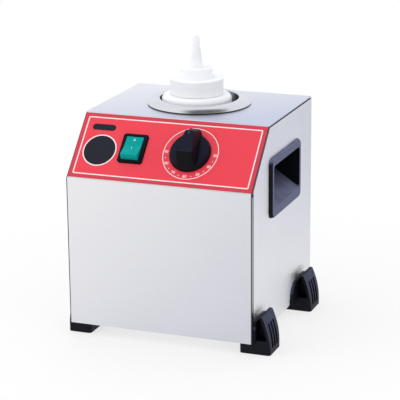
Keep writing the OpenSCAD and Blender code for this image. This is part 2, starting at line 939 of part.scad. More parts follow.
module thermostat_capillary() {
    top = [bulb_axis_r * cos(bulb_a) - well_left, well_y + bulb_axis_r * sin(bulb_a), bulb_high];
    leave = slope_point(knob_x + 8, knob_v, -sheet_t - stat_d - diaphragm_t);
    inward = slope_point(knob_x + 8, knob_v, -sheet_t - stat_d - diaphragm_t - 8);
    color(copper_colour)
        placed()
            tube(smooth([
                top,
                top + [0.5, -0.5, 6],
                top + [5, -5, 9],
                top + [12, -12, 5],
                inward + [6, 6, 4],
                inward,
                leave
            ], 4), capillary_r);
}

// Heated well and what holds it

roll_z = rim_h - rim_roll_r;
roll_x = rim_r - sqrt(pow(rim_roll_r, 2) - pow(seal_t - roll_z, 2));

module well_pot() {
    color(bright_steel_colour)
        placed()
            at_well() {
                rotate_extrude($fn = 128)
                    rim_section();
                translate([0, 0, z_well_under])
                    difference() {
                        cylinder(h = z_top + lip_z - well_t / 2 - z_well_under, r = well_r + well_t, $fn = 128);
                        translate([0, 0, well_t])
                            cylinder(h = casing_h, r = well_r, $fn = 128);
                    }
            }
}

lip_z = roll_z + sqrt(pow(rim_roll_r, 2) - pow(roll_x - well_r, 2));

module rim_section() {
    intersection() {
        translate([roll_x, z_top + roll_z])
            ring(rim_roll_r - well_t, rim_roll_r);
        translate([well_r, z_top + seal_t])
            square([rim_r, rim_roll_r]);
    }
}

module rim_seal() {
    color(black_colour)
        placed()
            at_well()
                translate([0, 0, z_top])
                    linear_extrude(seal_t)
                        ring(rim_r - seal_w, rim_r - 0.1, $fn = 128);
}

clamp_wall = 1.5;
clamp_r = well_r + well_t + wrap_gap;
clamp_angles = [30, 150, 270];
clamp_screw_r = 1.5;

module well_clamp_ring() {
    color(steel_colour)
        placed()
            at_well()
                difference() {
                    union() {
                        translate([0, 0, z_top - sheet_t - clamp_ring_h])
                            cylinder(h = clamp_ring_h, r = clamp_r + clamp_wall, $fn = 128);
                        translate([0, 0, z_top - sheet_t - clamp_wall])
                            cylinder(h = clamp_wall, r = clamp_r + clamp_wall + 7, $fn = 128);
                    }
                    translate([0, 0, z_top - sheet_t - clamp_ring_h - 1])
                        cylinder(h = clamp_ring_h + 2, r = clamp_r, $fn = 128);
                    for (a = clamp_angles)
                        rotate([0, 0, a])
                            translate([clamp_r - 1, 0, z_top - sheet_t - clamp_ring_h * 0.6])
                                rotate([0, 90, 0])
                                    cylinder(h = clamp_wall + 2, r = clamp_screw_r + 0.05, $fn = 32);
                }
}

module well_clamp_screws() {
    color(bright_steel_colour)
        placed()
            at_well()
                for (a = clamp_angles)
                    rotate([0, 0, a])
                        translate([0, 0, z_top - sheet_t - clamp_ring_h * 0.6])
                            rotate([0, 90, 0]) {
                                translate([0, 0, clamp_r - 0.1])
                                    cylinder(h = clamp_wall + 1.5, r = clamp_screw_r, $fn = 32);
                                translate([0, 0, clamp_r + clamp_wall])
                                    cylinder(h = 2, r = clamp_screw_r * 1.8, $fn = 32);
                            }
}

heater_r = well_r + well_t + wrap_gap;
heater_z = z_well_under + heater_lift;
heater_h = bulb_low - heater_bulb_gap - heater_z;
heater_a = 215;
lug_gap = 5;
lug_l = 8;
lug_t = 2;
lug_h = 14;

module heater_band() {
    color(silicone_colour)
        placed()
            at_well()
                rotate([0, 0, heater_a])
                    difference() {
                        union() {
                            translate([0, 0, heater_z])
                                linear_extrude(heater_h)
                                    ring(heater_r, heater_r + heater_t, $fn = 128);
                            for (side = [-1, 1])
                                translate([heater_r + 0.5, side * (lug_gap / 2 + lug_t / 2), heater_z + heater_h / 2])
                                    translate([lug_l / 2 + 0.5, 0, 0])
                                        cube([lug_l + 1, lug_t, lug_h], center = true);
                        }
                        box([heater_r - 5, -lug_gap / 2, heater_z - 1], [heater_r + lug_l + 5, lug_gap / 2, heater_z + heater_h + 1]);
                        lug_bore(heater_r + 5, 1.55);
                        translate([0, 0, heater_z - 1])
                            cylinder(h = heater_h + 2, r = heater_r, $fn = 128);
                    }
}

module lug_bore(x, r) {
    translate([x, 0, heater_z + heater_h / 2])
        rotate([90, 0, 0])
            cylinder(h = 30, r = r, center = true, $fn = 32);
}

module heater_clamp_screw() {
    reach = lug_gap / 2 + lug_t;
    color(bright_steel_colour)
        placed()
            at_well()
                rotate([0, 0, heater_a])
                    translate([heater_r + 5, 0, heater_z + heater_h / 2])
                        rotate([90, 0, 0]) {
                            translate([0, 0, -reach - 3])
                                cylinder(h = 2 * reach + 3 + 0.01, r = 1.5, $fn = 32);
                            translate([0, 0, reach])
                                cylinder(h = 2, r = 2.8, $fn = 32);
                        }
}

// Snap-action cut-out held against the well's underside

cutout_x = 12;
cutout_y = -10;
cutout_r = 8;
cutout_h = 9;
cutout_ear = 12;
cutout_ear_t = 1;

module at_cutout() {
    at_well()
        translate([cutout_x, cutout_y, z_well_under])
            children();
}

module thermal_cutout() {
    color(black_colour)
        placed()
            at_cutout()
                difference() {
                    union() {
                        translate([0, 0, -cutout_h])
                            cylinder(h = cutout_h, r = cutout_r);
                        translate([0, 0, -cutout_ear_t])
                            linear_extrude(cutout_ear_t)
                                rounded(2 * cutout_ear + 8, 8, 3.9);
                        for (x = [-4, 4])
                            translate([x, 0, -cutout_h])
                                rotate([0, 0, 90])
                                    blade(6);
                    }
                    for (side = [-1, 1])
                        translate([side * cutout_ear, 0, -2 * cutout_ear_t])
                            cylinder(h = 3 * cutout_ear_t, r = 1.6, $fn = 32);
                }
}

module cutout_screws() {
    color(bright_steel_colour)
        placed()
            at_cutout()
                for (side = [-1, 1])
                    translate([side * cutout_ear, 0, -cutout_ear_t]) {
                        translate([0, 0, -2])
                            cylinder(h = 2, r = 2.8, $fn = 32);
                        translate([0, 0, -0.01])
                            cylinder(h = cutout_ear_t + 0.01, r = 1.5, $fn = 32);
                    }
}

sleeve_r = heater_r + heater_t + 0.4;
sleeve_low = z_well_under + 4;
sleeve_high = z_top - sheet_t - clamp_ring_h - 7;

module insulation_sleeve() {
    color(wool_colour)
        placed()
            difference() {
                at_well()
                    translate([0, 0, sleeve_low])
                        linear_extrude(sleeve_high - sleeve_low)
                            ring(sleeve_r, sleeve_r + insulation_t, $fn = 96);
                at_well()
                    rotate([0, 0, heater_a])
                        box([heater_r, -12, heater_z + heater_h / 2 - 14], [heater_r + 30, 12, heater_z + heater_h / 2 + 14]);
                at_bulb()
                    translate([0, 0, sleeve_low - 1])
                        cylinder(h = sleeve_high, r = bulb_r + 1.6, $fn = 32);
            }
}

// Mains terminals and earth point on the base plate

block_x = 48;
block_y = half_d - 42;
block_w = 34;
block_l = 18;
block_h = 15;
block_pitch = 10;
block_z = z_low + sheet_t;
earth_x = 18;
earth_y = half_d - 30;
earth_r = 2.5;

module terminal_block() {
    color(ceramic_colour)
        placed()
            translate([block_x, block_y, block_z])
                difference() {
                    union() {
                        translate([-block_w / 2, -block_l / 2, 0])
                            cube([block_w, block_l, block_h * 0.6]);
                        for (x = row(3, block_pitch))
                            translate([x - 4, -block_l / 2, 0])
                                cube([8, block_l, block_h]);
                    }
                    for (x = row(3, block_pitch)) {
                        translate([x, block_l, block_h * 0.4])
                            rotate([90, 0, 0])
                                cylinder(h = 2 * block_l, r = 2.2, $fn = 32);
                        for (y = [-block_l / 4, block_l / 4])
                            translate([x, y, block_h * 0.4])
                                cylinder(h = block_h, r = 2.05, $fn = 32);
                    }
                }
}

module terminal_screws() {
    color(brass_colour)
        placed()
            translate([block_x, block_y, block_z])
                for (x = row(3, block_pitch))
                    for (y = [-block_l / 4, block_l / 4])
                        translate([x, y, block_h * 0.4])
                            difference() {
                                cylinder(h = block_h * 0.5, r = 1.95, $fn = 32);
                                translate([0, 0, block_h * 0.5])
                                    cube([6, 0.7, 1.6], center = true);
                            }
}

module earth_stud() {
    color(brass_colour)
        placed()
            translate([earth_x, earth_y, z_low - 2]) {
                cylinder(h = 18, r = earth_r, $fn = 32);
                cylinder(h = 2, r = earth_r * 1.8, $fn = 32);
            }
}

module earth_nut() {
    color(brass_colour)
        placed()
            translate([earth_x, earth_y, z_low + sheet_t]) {
                linear_extrude(1)
                    ring(earth_r + 0.05, earth_r * 2);
                translate([0, 0, 1])
                    linear_extrude(4)
                        hexagon(8, earth_r + 0.05);
            }
}

// Cable gland in the rear cover

module at_gland() {
    translate([gland_x, half_d, z_low + gland_z])
        rotate([-90, 0, 0])
            children();
}

gland_bore_r = cable_hole_r + 1.2;
gland_neck_l = 9;

module gland_body() {
    inside = sheet_t + 8;
    color(black_colour)
        placed()
            at_gland()
                difference() {
                    union() {
                        translate([0, 0, -inside])
                            cylinder(h = inside + 0.01, r = gland_r);
                        linear_extrude(gland_flange_t)
                            hexagon(gland_hex, 1);
                        cylinder(h = gland_flange_t + gland_neck_l, r = gland_r);
                    }
                    translate([0, 0, -inside - 1])
                        cylinder(h = inside + gland_reach, r = gland_bore_r);
                }
}

module gland_seal() {
    color(black_colour)
        placed()
            at_gland()
                translate([0, 0, gland_flange_t])
                    linear_extrude(gland_neck_l)
                        ring(cable_hole_r, gland_bore_r - 0.05);
}

module gland_nut() {
    mouth_r = cable_hole_r + 0.8;
    color(black_colour)
        placed()
            at_gland()
                difference() {
                    union() {
                        translate([0, 0, gland_flange_t])
                            linear_extrude(7)
                                hexagon(gland_hex, 1);
                        translate([0, 0, gland_flange_t + 7])
                            cylinder(h = gland_nut_l - 7, r1 = gland_hex / 2, r2 = gland_hex / 2 - 4);
                    }
                    translate([0, 0, gland_flange_t - 1])
                        cylinder(h = gland_neck_l + 1.3, r = gland_r + 0.05);
                    cylinder(h = gland_reach + 1, r = mouth_r);
                }
}

module gland_locknut() {
    color(black_colour)
        placed()
            at_gland()
                translate([0, 0, -sheet_t - 4])
                    linear_extrude(4)
                        hexagon(gland_hex, gland_r + 0.05);
}

// Recessed carrying handles

cup_l = handle_l - 2 * handle_end_rim + 2 * handle_t;
recess_h = handle_h - handle_top_rim - handle_low_rim;
cup_h = recess_h + 2 * handle_t;
handle_cut_shift = (handle_low_rim - handle_top_rim) / 2;
handle_cut_corner = 5;

module handle() {
    plate = 0.3;
    edge = 0.5;
    translate([half_w, handle_y, z_low + handle_z])
        difference() {
            union() {
                hull() {
                    along_x(0, plate)
                        rounded(handle_l, handle_h, handle_corner, $fn = 32);
                    along_x(handle_proud - edge - 0.01, handle_proud - edge)
                        rounded(handle_l - 2 * handle_chamfer, handle_h - edge, handle_corner, $fn = 32);
                    along_x(handle_proud - 0.01, handle_proud)
                        rounded(handle_l - 2 * (handle_chamfer + edge), handle_h - 3 * edge, handle_corner - edge, $fn = 32);
                }
                translate([0, 0, handle_cut_shift])
                    along_x(-handle_depth - handle_t, plate)
                        rounded(cup_l, cup_h, handle_cut_corner - handle_gap);
                handle_snaps();
            }
            intersection() {
                translate([0, 0, handle_cut_shift])
                    along_x(-handle_depth, handle_proud + 1)
                        rounded(cup_l - 2 * handle_t, recess_h, 3.5);
                along_y(-handle_l, handle_l)
                    recess_section();
            }
            along_y(-cup_l, cup_l)
                under_ramp();
        }
}

recess_low = -handle_h / 2 + handle_low_rim;
recess_high = handle_h / 2 - handle_top_rim;

// Finger space: open at the face, with a ramp that climbs to the back wall
module recess_section() {
    polygon([
        [handle_proud + 1, recess_low - 1],
        [handle_proud, recess_low],
        [-handle_depth, recess_low + ramp_rise],
        [-handle_depth, recess_high + 1],
        [handle_proud + 1, recess_high + 1]
    ]);
}

// Space under the ramp, left open at the back of the moulding
module under_ramp() {
    slope = ramp_rise / (handle_depth + handle_proud);
    start = -6;
    polygon([
        [start, recess_low - handle_t - 1],
        [start, recess_low + slope * (handle_proud - start) - handle_t * 1.3],
        [-handle_depth - handle_t - 1, recess_low + slope * (handle_depth + handle_t + 1 + handle_proud) - handle_t * 1.3],
        [-handle_depth - handle_t - 1, recess_low - handle_t - 1]
    ]);
}

// Snap noses that catch behind the side panel
module handle_snaps() {
    for (y = [-handle_l / 4, handle_l / 4])
        translate([0, y, handle_cut_shift + cup_h / 2])
            along_y(-5, 5)
                polygon([
                    [-sheet_t - 0.1, -1],
                    [-sheet_t - 0.1, 1.4],
                    [-sheet_t - 6, 0],
                    [-sheet_t - 6, -1]
                ]);
}

module handle_right() {
    color(black_colour)
        placed()
            handle();
}

module handle_left() {
    color(black_colour)
        placed()
            mirror([1, 0, 0])
                handle();
}

// Feet: a pad under the casing and a wing that climbs the side

foot_front_y = -half_d + foot_front_set + foot_l / 2;
foot_rear_y = half_d - foot_rear_set - foot_l / 2;
foot_ys = [foot_front_y, foot_rear_y];
foot_screw_in = 7.5;

module foot_holes(z0, z1) {
    for (side = [-1, 1])
        for (y = foot_ys)
            translate([side * (half_w - foot_screw_in), y, z0])
                cylinder(h = z1 - z0, r = foot_screw_r + screw_gap, $fn = 32);
}

// Foot seen from the front, with zero at the side panel's face
module foot_section(out, high, flank_r, crown_r) {
    // The crown circle crosses the flank instead of only touching it, so that no sliver stays between them
    crown_bite = 0.02;
    crown_x = out - flank_r + sqrt(pow(flank_r - crown_r, 2) - pow(high - crown_r, 2)) + crown_bite;
    intersection() {
        translate([out - flank_r, 0])
            circle(flank_r, $fn = 256);
        square([out, high]);
        union() {
            square([out, (high - crown_r) * flank_r / (flank_r - crown_r)]);
            square([crown_x, high]);
            translate([crown_x, high - crown_r])
                circle(crown_r);
        }
    }
}

// Slope behind a right wing's crest, which falls to the flange against the side
module crest_slope() {
    crest_x = right_foot_out - flank_r + sqrt(pow(flank_r - crown_r, 2) - pow(wing_h - crown_r, 2)) - crown_r;
    along_y(-foot_l, foot_l)
        polygon([
            [-1, flange_top],
            [foot_flange_t, flange_top],
            [crest_x, wing_h - crown_r],
            [crest_x, wing_h + 1],
            [-1, wing_h + 1]
        ]);
}

module foot_block(out, high, reach_in, flank_r, crown_r) {
    corner = 3;
    intersection() {
        union() {
            along_y(-foot_l / 2, foot_l / 2)
                foot_section(out, high, flank_r, crown_r);
            box([-reach_in, -foot_l / 2, 0], [out / 2, foot_l / 2, foot_h]);
        }
        translate([(out - reach_in) / 2, 0, 0])
            linear_extrude(high)
                rounded(out + reach_in, foot_l, corner);
    }
}

// Flange against the side panel: it runs on towards the middle of the side, at positive Y
module foot_flange() {
    outer_corner = 9;
    y_outer = -foot_l / 2 - foot_flange_over;
    y_inner = foot_l / 2 + foot_flange_run;
    along_x(0, foot_flange_t) {
        translate([y_outer, foot_h])
            square([y_inner - y_outer, flange_top - foot_flange_run - foot_h]);
        translate([y_outer, foot_h])
            square([foot_l, flange_top - outer_corner - foot_h]);
        translate([y_outer + outer_corner, foot_h])
            square([foot_l + foot_flange_over - outer_corner, flange_top - foot_h]);
        translate([y_outer + outer_corner, flange_top - outer_corner])
            circle(outer_corner);
        intersection() {
            translate([foot_l / 2, flange_top - foot_flange_run])
                circle(foot_flange_run);
            translate([0, foot_h])
                square([foot_l, flange_top]);
        }
    }
}

// Hollow in each end of a right wing, between its flange and its outer wall
module wing_hollows() {
    floor_z = foot_h + 3;
    for (side = [-1, 1])
        translate([0, side * (foot_l / 2 - hollow_depth / 2 + 0.5), 0])
            along_y(-hollow_depth / 2 - 0.5, hollow_depth / 2 + 0.5)
                intersection() {
                    translate([right_foot_out - flank_r, 0])
                        circle(flank_r - wing_wall, $fn = 256);
                    translate([foot_flange_t, floor_z])
                        square([right_foot_out, wing_h]);
                }
}

module foot_screw_pocket() {
    translate([-foot_screw_in, 0, -1]) {
        cylinder(h = foot_h + 2, r = foot_screw_r + screw_gap, $fn = 32);
        cylinder(h = foot_pocket_d + 1, r = foot_screw_r * 2 + 0.5, $fn = 32);
    }
}

foot_pocket_d = 4;

// Sunken panel with upright ribs in a wing's outer face
module rib_panel() {
    margin = 5.5;
    panel_l = foot_l - 2 * margin;
    for (y = row(3, panel_l / 3))
        along_y(y - panel_l / 6 + rib_w / 2, y + panel_l / 6 - rib_w / 2)
            intersection() {
                translate([right_foot_out - flank_r, 0])
                    ring(flank_r - rib_depth, flank_r + 1, $fn = 256);
                translate([0, margin])
                    square([right_foot_out + 1, wing_h - 2.5 * margin]);
            }
}

flank_r = 92;
crown_r = 2;

module right_foot(y, inward) {
    color(black_colour)
        placed()
            translate([half_w, y, 0])
                difference() {
                    union() {
                        difference() {
                            foot_block(right_foot_out, wing_h, right_foot_in, flank_r, crown_r);
                            crest_slope();
                            wing_hollows();
                        }
                        scale([1, inward, 1])
                            foot_flange();
                    }
                    foot_screw_pocket();
                    rib_panel();
                }
}

module left_foot(y) {
    color(black_colour)
        placed()
            mirror([1, 0, 0])
                translate([half_w, y, 0])
                    difference() {
                        foot_block(left_foot_out, left_wing_h, left_foot_in, flank_r, 1.2);
                        foot_screw_pocket();
                    }
}

module foot_front_right() {
    right_foot(foot_front_y, 1);
}

module foot_rear_right() {
    right_foot(foot_rear_y, -1);
}

module foot_front_left() {
    left_foot(foot_front_y);
}

module foot_rear_left() {
    left_foot(foot_rear_y);
}

foot_nut_t = 3.2;

module at_feet() {
    for (side = [-1, 1])
        for (y = foot_ys)
            translate([side * (half_w - foot_screw_in), y, 0])
                children();
}

module foot_screws() {
    head_t = foot_screw_r * 1.1;
    color(bright_steel_colour)
        placed()
            at_feet()
                difference() {
                    union() {
                        translate([0, 0, foot_pocket_d - 0.01])
                            cylinder(h = z_low + 2 * sheet_t + foot_nut_t + 1 - foot_pocket_d, r = foot_screw_r, $fn = 32);
                        translate([0, 0, foot_pocket_d - head_t])
                            cylinder(h = head_t, r = foot_screw_r * 2, $fn = 32);
                    }
                    translate([0, 0, foot_pocket_d - head_t])
                        cube([foot_screw_r * 3, 1, 1.6], center = true);
                    translate([0, 0, foot_pocket_d - head_t])
                        cube([1, foot_screw_r * 3, 1.6], center = true);
                }
}

module foot_nuts() {
    color(bright_steel_colour)
        placed()
            at_feet()
                translate([0, 0, z_low + 2 * sheet_t])
                    linear_extrude(foot_nut_t)
                        hexagon(foot_screw_r * 3.5, foot_screw_r + 0.05);
}

// Squeeze bottle and its spout cap

seat_gap = 0.3;
bottle_low = z_well_floor + seat_gap;
shoulder_z = z_top + shoulder_h;
neck_top = shoulder_z + neck_h;
shoulder_axis_r = bottle_r - shoulder_r;

module at_bottle() {
    translate([-well_left - bottle_shift, well_y, 0])
        children();
}

// Half outline of the bottle, moved inward by i and open at the neck
module bottle_outline(i) {
    base_round = 4;
    mid_z = (bottle_low + shoulder_z) / 2;
    translate([0, bottle_low + i])
        square([bottle_r - base_round, mid_z - bottle_low]);
    translate([0, mid_z])
        square([shoulder_axis_r, shoulder_z - i - mid_z]);
    translate([0, bottle_low + base_round])
        square([bottle_r - i, shoulder_z - shoulder_r - bottle_low - base_round]);
    translate([bottle_r - base_round, bottle_low + base_round])
        circle(base_round - i, $fn = 48);
    translate([shoulder_axis_r, shoulder_z - shoulder_r])
        circle(shoulder_r - i, $fn = 64);
    translate([0, mid_z])
        square([neck_r - i, neck_top + (i > 0 ? 1 : 0) - mid_z]);
}

module bottle() {
    color(white_colour)
        placed()
            at_bottle()
                rotate_extrude($fn = 128)
                    difference() {
                        bottle_outline(0);
                        bottle_outline(bottle_t);
                    }
}

collar_low = shoulder_z + cap_gap;
cap_ceiling = neck_top + liner_t;
collar_r = neck_r + cap_gap + collar_t;
collar_top = cap_ceiling + cap_t;
tier_top = collar_top + tier_h;
spout_mid_z = tier_top + spout_low_h;
spout_top = spout_mid_z + spout_high_h;

module bottle_cap() {
    edge = 0.8;
    bore_mid_r = spout_mid_r - cap_t * 0.9;
    color(white_colour)
        placed()
            at_bottle()
                rotate_extrude($fn = 128)
                    polygon([
                        [collar_r - collar_t, collar_low],
                        [collar_r, collar_low],
                        [collar_r, collar_top - edge],
                        [collar_r - edge, collar_top],
                        [tier_r + 0.6, collar_top],
                        [tier_r - 0.6, tier_top - edge],
                        [tier_r - 0.6 - edge, tier_top],
                        [spout_foot_r, tier_top],
                        [spout_mid_r, spout_mid_z],
                        [spout_mid_r - 0.4, spout_mid_z],
                        [spout_tip_r, spout_top],
                        [spout_hole_r, spout_top],
                        [spout_hole_r, spout_mid_z + 2],
                        [bore_mid_r, spout_mid_z - 2],
                        [spout_foot_r - cap_t, tier_top - cap_t],
                        [tier_r - 0.6 - cap_t, tier_top - cap_t],
                        [tier_r - 0.6 - cap_t, cap_ceiling],
                        [collar_r - collar_t, cap_ceiling]
                    ]);
}

module cap_liner() {
    color(white_colour)
        placed()
            at_bottle()
                translate([0, 0, neck_top])
                    linear_extrude(liner_t)
                        ring(tier_r - 0.6 - cap_t, neck_r, $fn = 128);
}

front_sheet();
side_panel_left();
side_panel_right();
base_plate();
rear_cover();
control_label();
switch_housing();
switch_rocker();
switch_terminals();
thermostat_knob();
thermostat_shaft();
thermostat_body();
thermostat_terminals();
thermostat_screws();
thermostat_bulb();
thermostat_capillary();
bulb_pocket();
well_pot();
rim_seal();
well_clamp_ring();
well_clamp_screws();
heater_band();
heater_clamp_screw();
thermal_cutout();
cutout_screws();
insulation_sleeve();
terminal_block();
terminal_screws();
earth_stud();
earth_nut();
gland_body();
gland_seal();
gland_nut();
gland_locknut();
handle_left();
handle_right();
foot_front_left();
foot_front_right();
foot_rear_left();
foot_rear_right();
foot_screws();
foot_nuts();
rear_cover_screws();
bottle();
bottle_cap();
cap_liner();
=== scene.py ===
import math

import bmesh
import bpy
from mathutils import Matrix, Vector


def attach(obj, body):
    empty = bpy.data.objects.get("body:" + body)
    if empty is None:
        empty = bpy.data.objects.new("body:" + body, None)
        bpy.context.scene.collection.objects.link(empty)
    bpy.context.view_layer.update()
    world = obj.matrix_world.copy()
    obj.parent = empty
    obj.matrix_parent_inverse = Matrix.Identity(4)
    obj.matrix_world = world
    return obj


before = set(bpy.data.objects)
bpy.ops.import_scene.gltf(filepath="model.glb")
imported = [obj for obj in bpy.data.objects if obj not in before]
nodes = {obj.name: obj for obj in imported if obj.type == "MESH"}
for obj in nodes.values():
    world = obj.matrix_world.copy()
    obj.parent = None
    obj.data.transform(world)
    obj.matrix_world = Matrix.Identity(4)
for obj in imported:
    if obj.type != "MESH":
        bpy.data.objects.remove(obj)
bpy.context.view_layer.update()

mm = 0.001

# Camera, at the photograph's viewing angle

cameraView = {
    "place": (0.59523, -1.56968, 0.60922),
    "azimuth": 20.850,
    "elevation": 16.309,
    "roll": -0.523,
    "lens": 156.14,
    "sensor": 36.0,
    "farthest": 100,
}


def makeCamera(view):
    data = bpy.data.cameras.new("studioCamera")
    data.lens = view["lens"]
    data.sensor_width = view["sensor"]
    data.sensor_fit = "AUTO"
    data.clip_end = view["farthest"]
    camera = bpy.data.objects.new("studioCamera", data)
    turn = Matrix.Rotation(math.radians(view["azimuth"]), 4, "Z")
    tip = Matrix.Rotation(math.radians(90 - view["elevation"]), 4, "X")
    roll = Matrix.Rotation(math.radians(view["roll"]), 4, "Z")
    camera.matrix_world = Matrix.Translation(view["place"]) @ turn @ tip @ roll
    bpy.context.collection.objects.link(camera)
    bpy.context.scene.camera = camera


makeCamera(cameraView)
bpy.context.scene.view_settings.view_transform = "Standard"
print("camera ready")

# Casing in mm. The row frame's middle lies to the right of the casing's own.
# The fold is the edge between the upright front and the sloping control panel.

casing = {
    "middleX": -6.7, "foldY": -103.3, "foldZ": 159.4, "run": 52.2, "rise": 54.6, "top": 214.0,
}
slopeAngle = math.atan2(casing["rise"], casing["run"])
foldPoint = Vector((casing["middleX"], casing["foldY"], casing["foldZ"])) * mm

# Control panel's own frame: X to the right, Y up the slope, Z out of it, in mm from the fold
slopeFrame = Matrix.Translation(foldPoint) @ Matrix.Rotation(slopeAngle, 4, "X")

# Tools for the materials


def linear(hexColour):
    channels = [int(hexColour[i:i + 2], 16) / 255 for i in (1, 3, 5)]
    return tuple(c / 12.92 if c <= 0.04045 else ((c + 0.055) / 1.055) ** 2.4 for c in channels) + (1.0,)


# A texture's scale for a pattern with features of this many mm
def scaleOf(size):
    return 1 / (size * mm)


# A wave texture's scale for stripes this many mm apart: it has one stripe in 0.314 units at scale 1
def waveScaleOf(pitch):
    return 0.314 / (pitch * mm)


# Adds a node, sets it up and links the inputs that are given as sockets
def addNode(tree, kind, settings=None, inputs=None):
    node = tree.nodes.new(kind)
    for name, value in (settings or {}).items():
        setattr(node, name, value)
    for name, value in (inputs or {}).items():
        if isinstance(value, bpy.types.NodeSocket):
            tree.links.new(value, node.inputs[name])
        else:
            node.inputs[name].default_value = value
    return node


def newMaterial(name, surface):
    material = bpy.data.materials.new(name)
    material.use_nodes = True
    tree = material.node_tree
    shader = tree.nodes["Principled BSDF"]
    for socket, value in surface.items():
        shader.inputs[socket].default_value = value
    where = addNode(tree, "ShaderNodeTexCoord").outputs["Object"]
    return material, tree, shader, where


# Links the first output of each pattern's last node to the shader
def dress(tree, shader, patterns):
    for socket, node in patterns.items():
        tree.links.new(node.outputs[0], shader.inputs[socket])


# Distance of a point from the casing's middle plane
def distanceAside(tree, where):
    place = addNode(tree, "ShaderNodeSeparateXYZ", inputs={"Vector": where})
    shifted = addNode(tree, "ShaderNodeMath", {"operation": "SUBTRACT"}, {
        0: place.outputs["X"], 1: casing["middleX"] * mm})
    return addNode(tree, "ShaderNodeMath", {"operation": "ABSOLUTE"}, {0: shifted.outputs[0]}).outputs[0]


# Depth of a point below the nearest of the casing's front, slope and top
def depthBelowSkin(tree, where):
    fold = (0, casing["foldY"] * mm, casing["foldZ"] * mm)
    faces = [
        (fold, (0, 1, 0)),
        (fold, (0, math.sin(slopeAngle), -math.cos(slopeAngle))),
        ((0, 0, casing["top"] * mm), (0, 0, -1)),
    ]
    depths = []
    for origin, inward in faces:
        offset = addNode(tree, "ShaderNodeVectorMath", {"operation": "SUBTRACT"}, {0: where, 1: origin})
        depth = addNode(tree, "ShaderNodeVectorMath", {"operation": "DOT_PRODUCT"}, {
            0: offset.outputs["Vector"], 1: inward})
        depths.append(depth.outputs["Value"])
    least = depths[0]
    for depth in depths[1:]:
        least = addNode(tree, "ShaderNodeMath", {"operation": "MINIMUM"}, {0: least, 1: depth}).outputs[0]
    return least


# One where a value in metres lies between two limits in mm, zero elsewhere
def between(tree, value, low, high):
    past = addNode(tree, "ShaderNodeMath", {"operation": "GREATER_THAN"}, {0: value, 1: low * mm})
    before = addNode(tree, "ShaderNodeMath", {"operation": "LESS_THAN"}, {0: value, 1: high * mm})
    both = addNode(tree, "ShaderNodeMath", {"operation": "MULTIPLY"}, {
        0: past.outputs[0], 1: before.outputs[0]})
    return both.outputs[0]


# Satin stainless steel, in mm. Real grit lines are 0.1 mm wide, drawn coarser so that they show.

grit = {"width": 0.9, "length": 90, "cloud": 60}

# Painted reflection: the top is darker and bluer towards its front right, and the front darker towards
# its lower right, as the steel would mirror a dimmer part of the room. The limits are for a place's dot
# product with the way it goes.
paintedReflectionFalloff = [
    {"axis": "Z", "at": casing["top"], "towards": (1, -1, 0),
     "from": -150, "to": 100, "tone": "#D8DDEF"},
    {"axis": "Y", "at": casing["foldY"], "towards": (0.5, 0, -0.5),
     "from": -120, "to": 30, "tone": "#E7E8EE"},
]
faceSlack = 0.5  # mm within which a point counts as on a face

# Painted shade along the sheets' edges, in mm aside from the middle and below the skin: a grey return, a
# dark line at the front's corner bend and a near-black seam groove by the side panels. The top has none.
edgeShadeBelowTop = 0.6
shadedReturn = {"aside": (94.9, 95.2), "depth": (0.4, 4.5), "tone": "#ABABAF"}
paintedCornerShade = {"aside": (94.1, 95.2), "depth": (-0.2, 0.5), "tone": "#4A494F"}
paintedGrooveShade = {"aside": (93.2, 94.95), "depth": (-0.2, 8.0), "tone": "#1E1D20"}


# Multiplies the painted reflection tones into the steel's colour, each only on its own face
def paintedReflectionColour(tree, where, place, tone):
    for falloff in paintedReflectionFalloff:
        along = addNode(tree, "ShaderNodeVectorMath", {"operation": "DOT_PRODUCT"}, {
            0: where, 1: falloff["towards"]})
        towardsDark = addNode(tree, "ShaderNodeMapRange", inputs={
            "Value": along.outputs["Value"], "From Min": falloff["from"] * mm, "From Max": falloff["to"] * mm})
        level = place.outputs[falloff["axis"]]
        onFace = between(tree, level, falloff["at"] - faceSlack, falloff["at"] + faceSlack)
        share = addNode(tree, "ShaderNodeMath", {"operation": "MULTIPLY"}, {
            0: towardsDark.outputs[0], 1: onFace})
        tone = addNode(tree, "ShaderNodeMixRGB", {"blend_type": "MULTIPLY"}, {
            0: share.outputs[0], 1: tone.outputs["Color"], 2: linear(falloff["tone"])})
    return tone


# Mixes painted shade into the colour where a place lies in each band, below the top
def paintedEdgeShadeColour(tree, where, place, tone, edgeShades):
    aside = distanceAside(tree, where)
    depth = depthBelowSkin(tree, where)
    belowTop = addNode(tree, "ShaderNodeMath", {"operation": "LESS_THAN"}, {
        0: place.outputs["Z"], 1: (casing["top"] - edgeShadeBelowTop) * mm})
    for edgeShade in edgeShades:
        inside = addNode(tree, "ShaderNodeMath", {"operation": "MULTIPLY"}, {
            0: between(tree, aside, *edgeShade["aside"]), 1: between(tree, depth, *edgeShade["depth"])})
        share = addNode(tree, "ShaderNodeMath", {"operation": "MULTIPLY"}, {
            0: inside.outputs[0], 1: belowTop.outputs[0]})
        tone = addNode(tree, "ShaderNodeMixRGB", inputs={
            0: share.outputs[0], 1: tone.outputs["Color"], 2: linear(edgeShade["tone"])})
    return tone


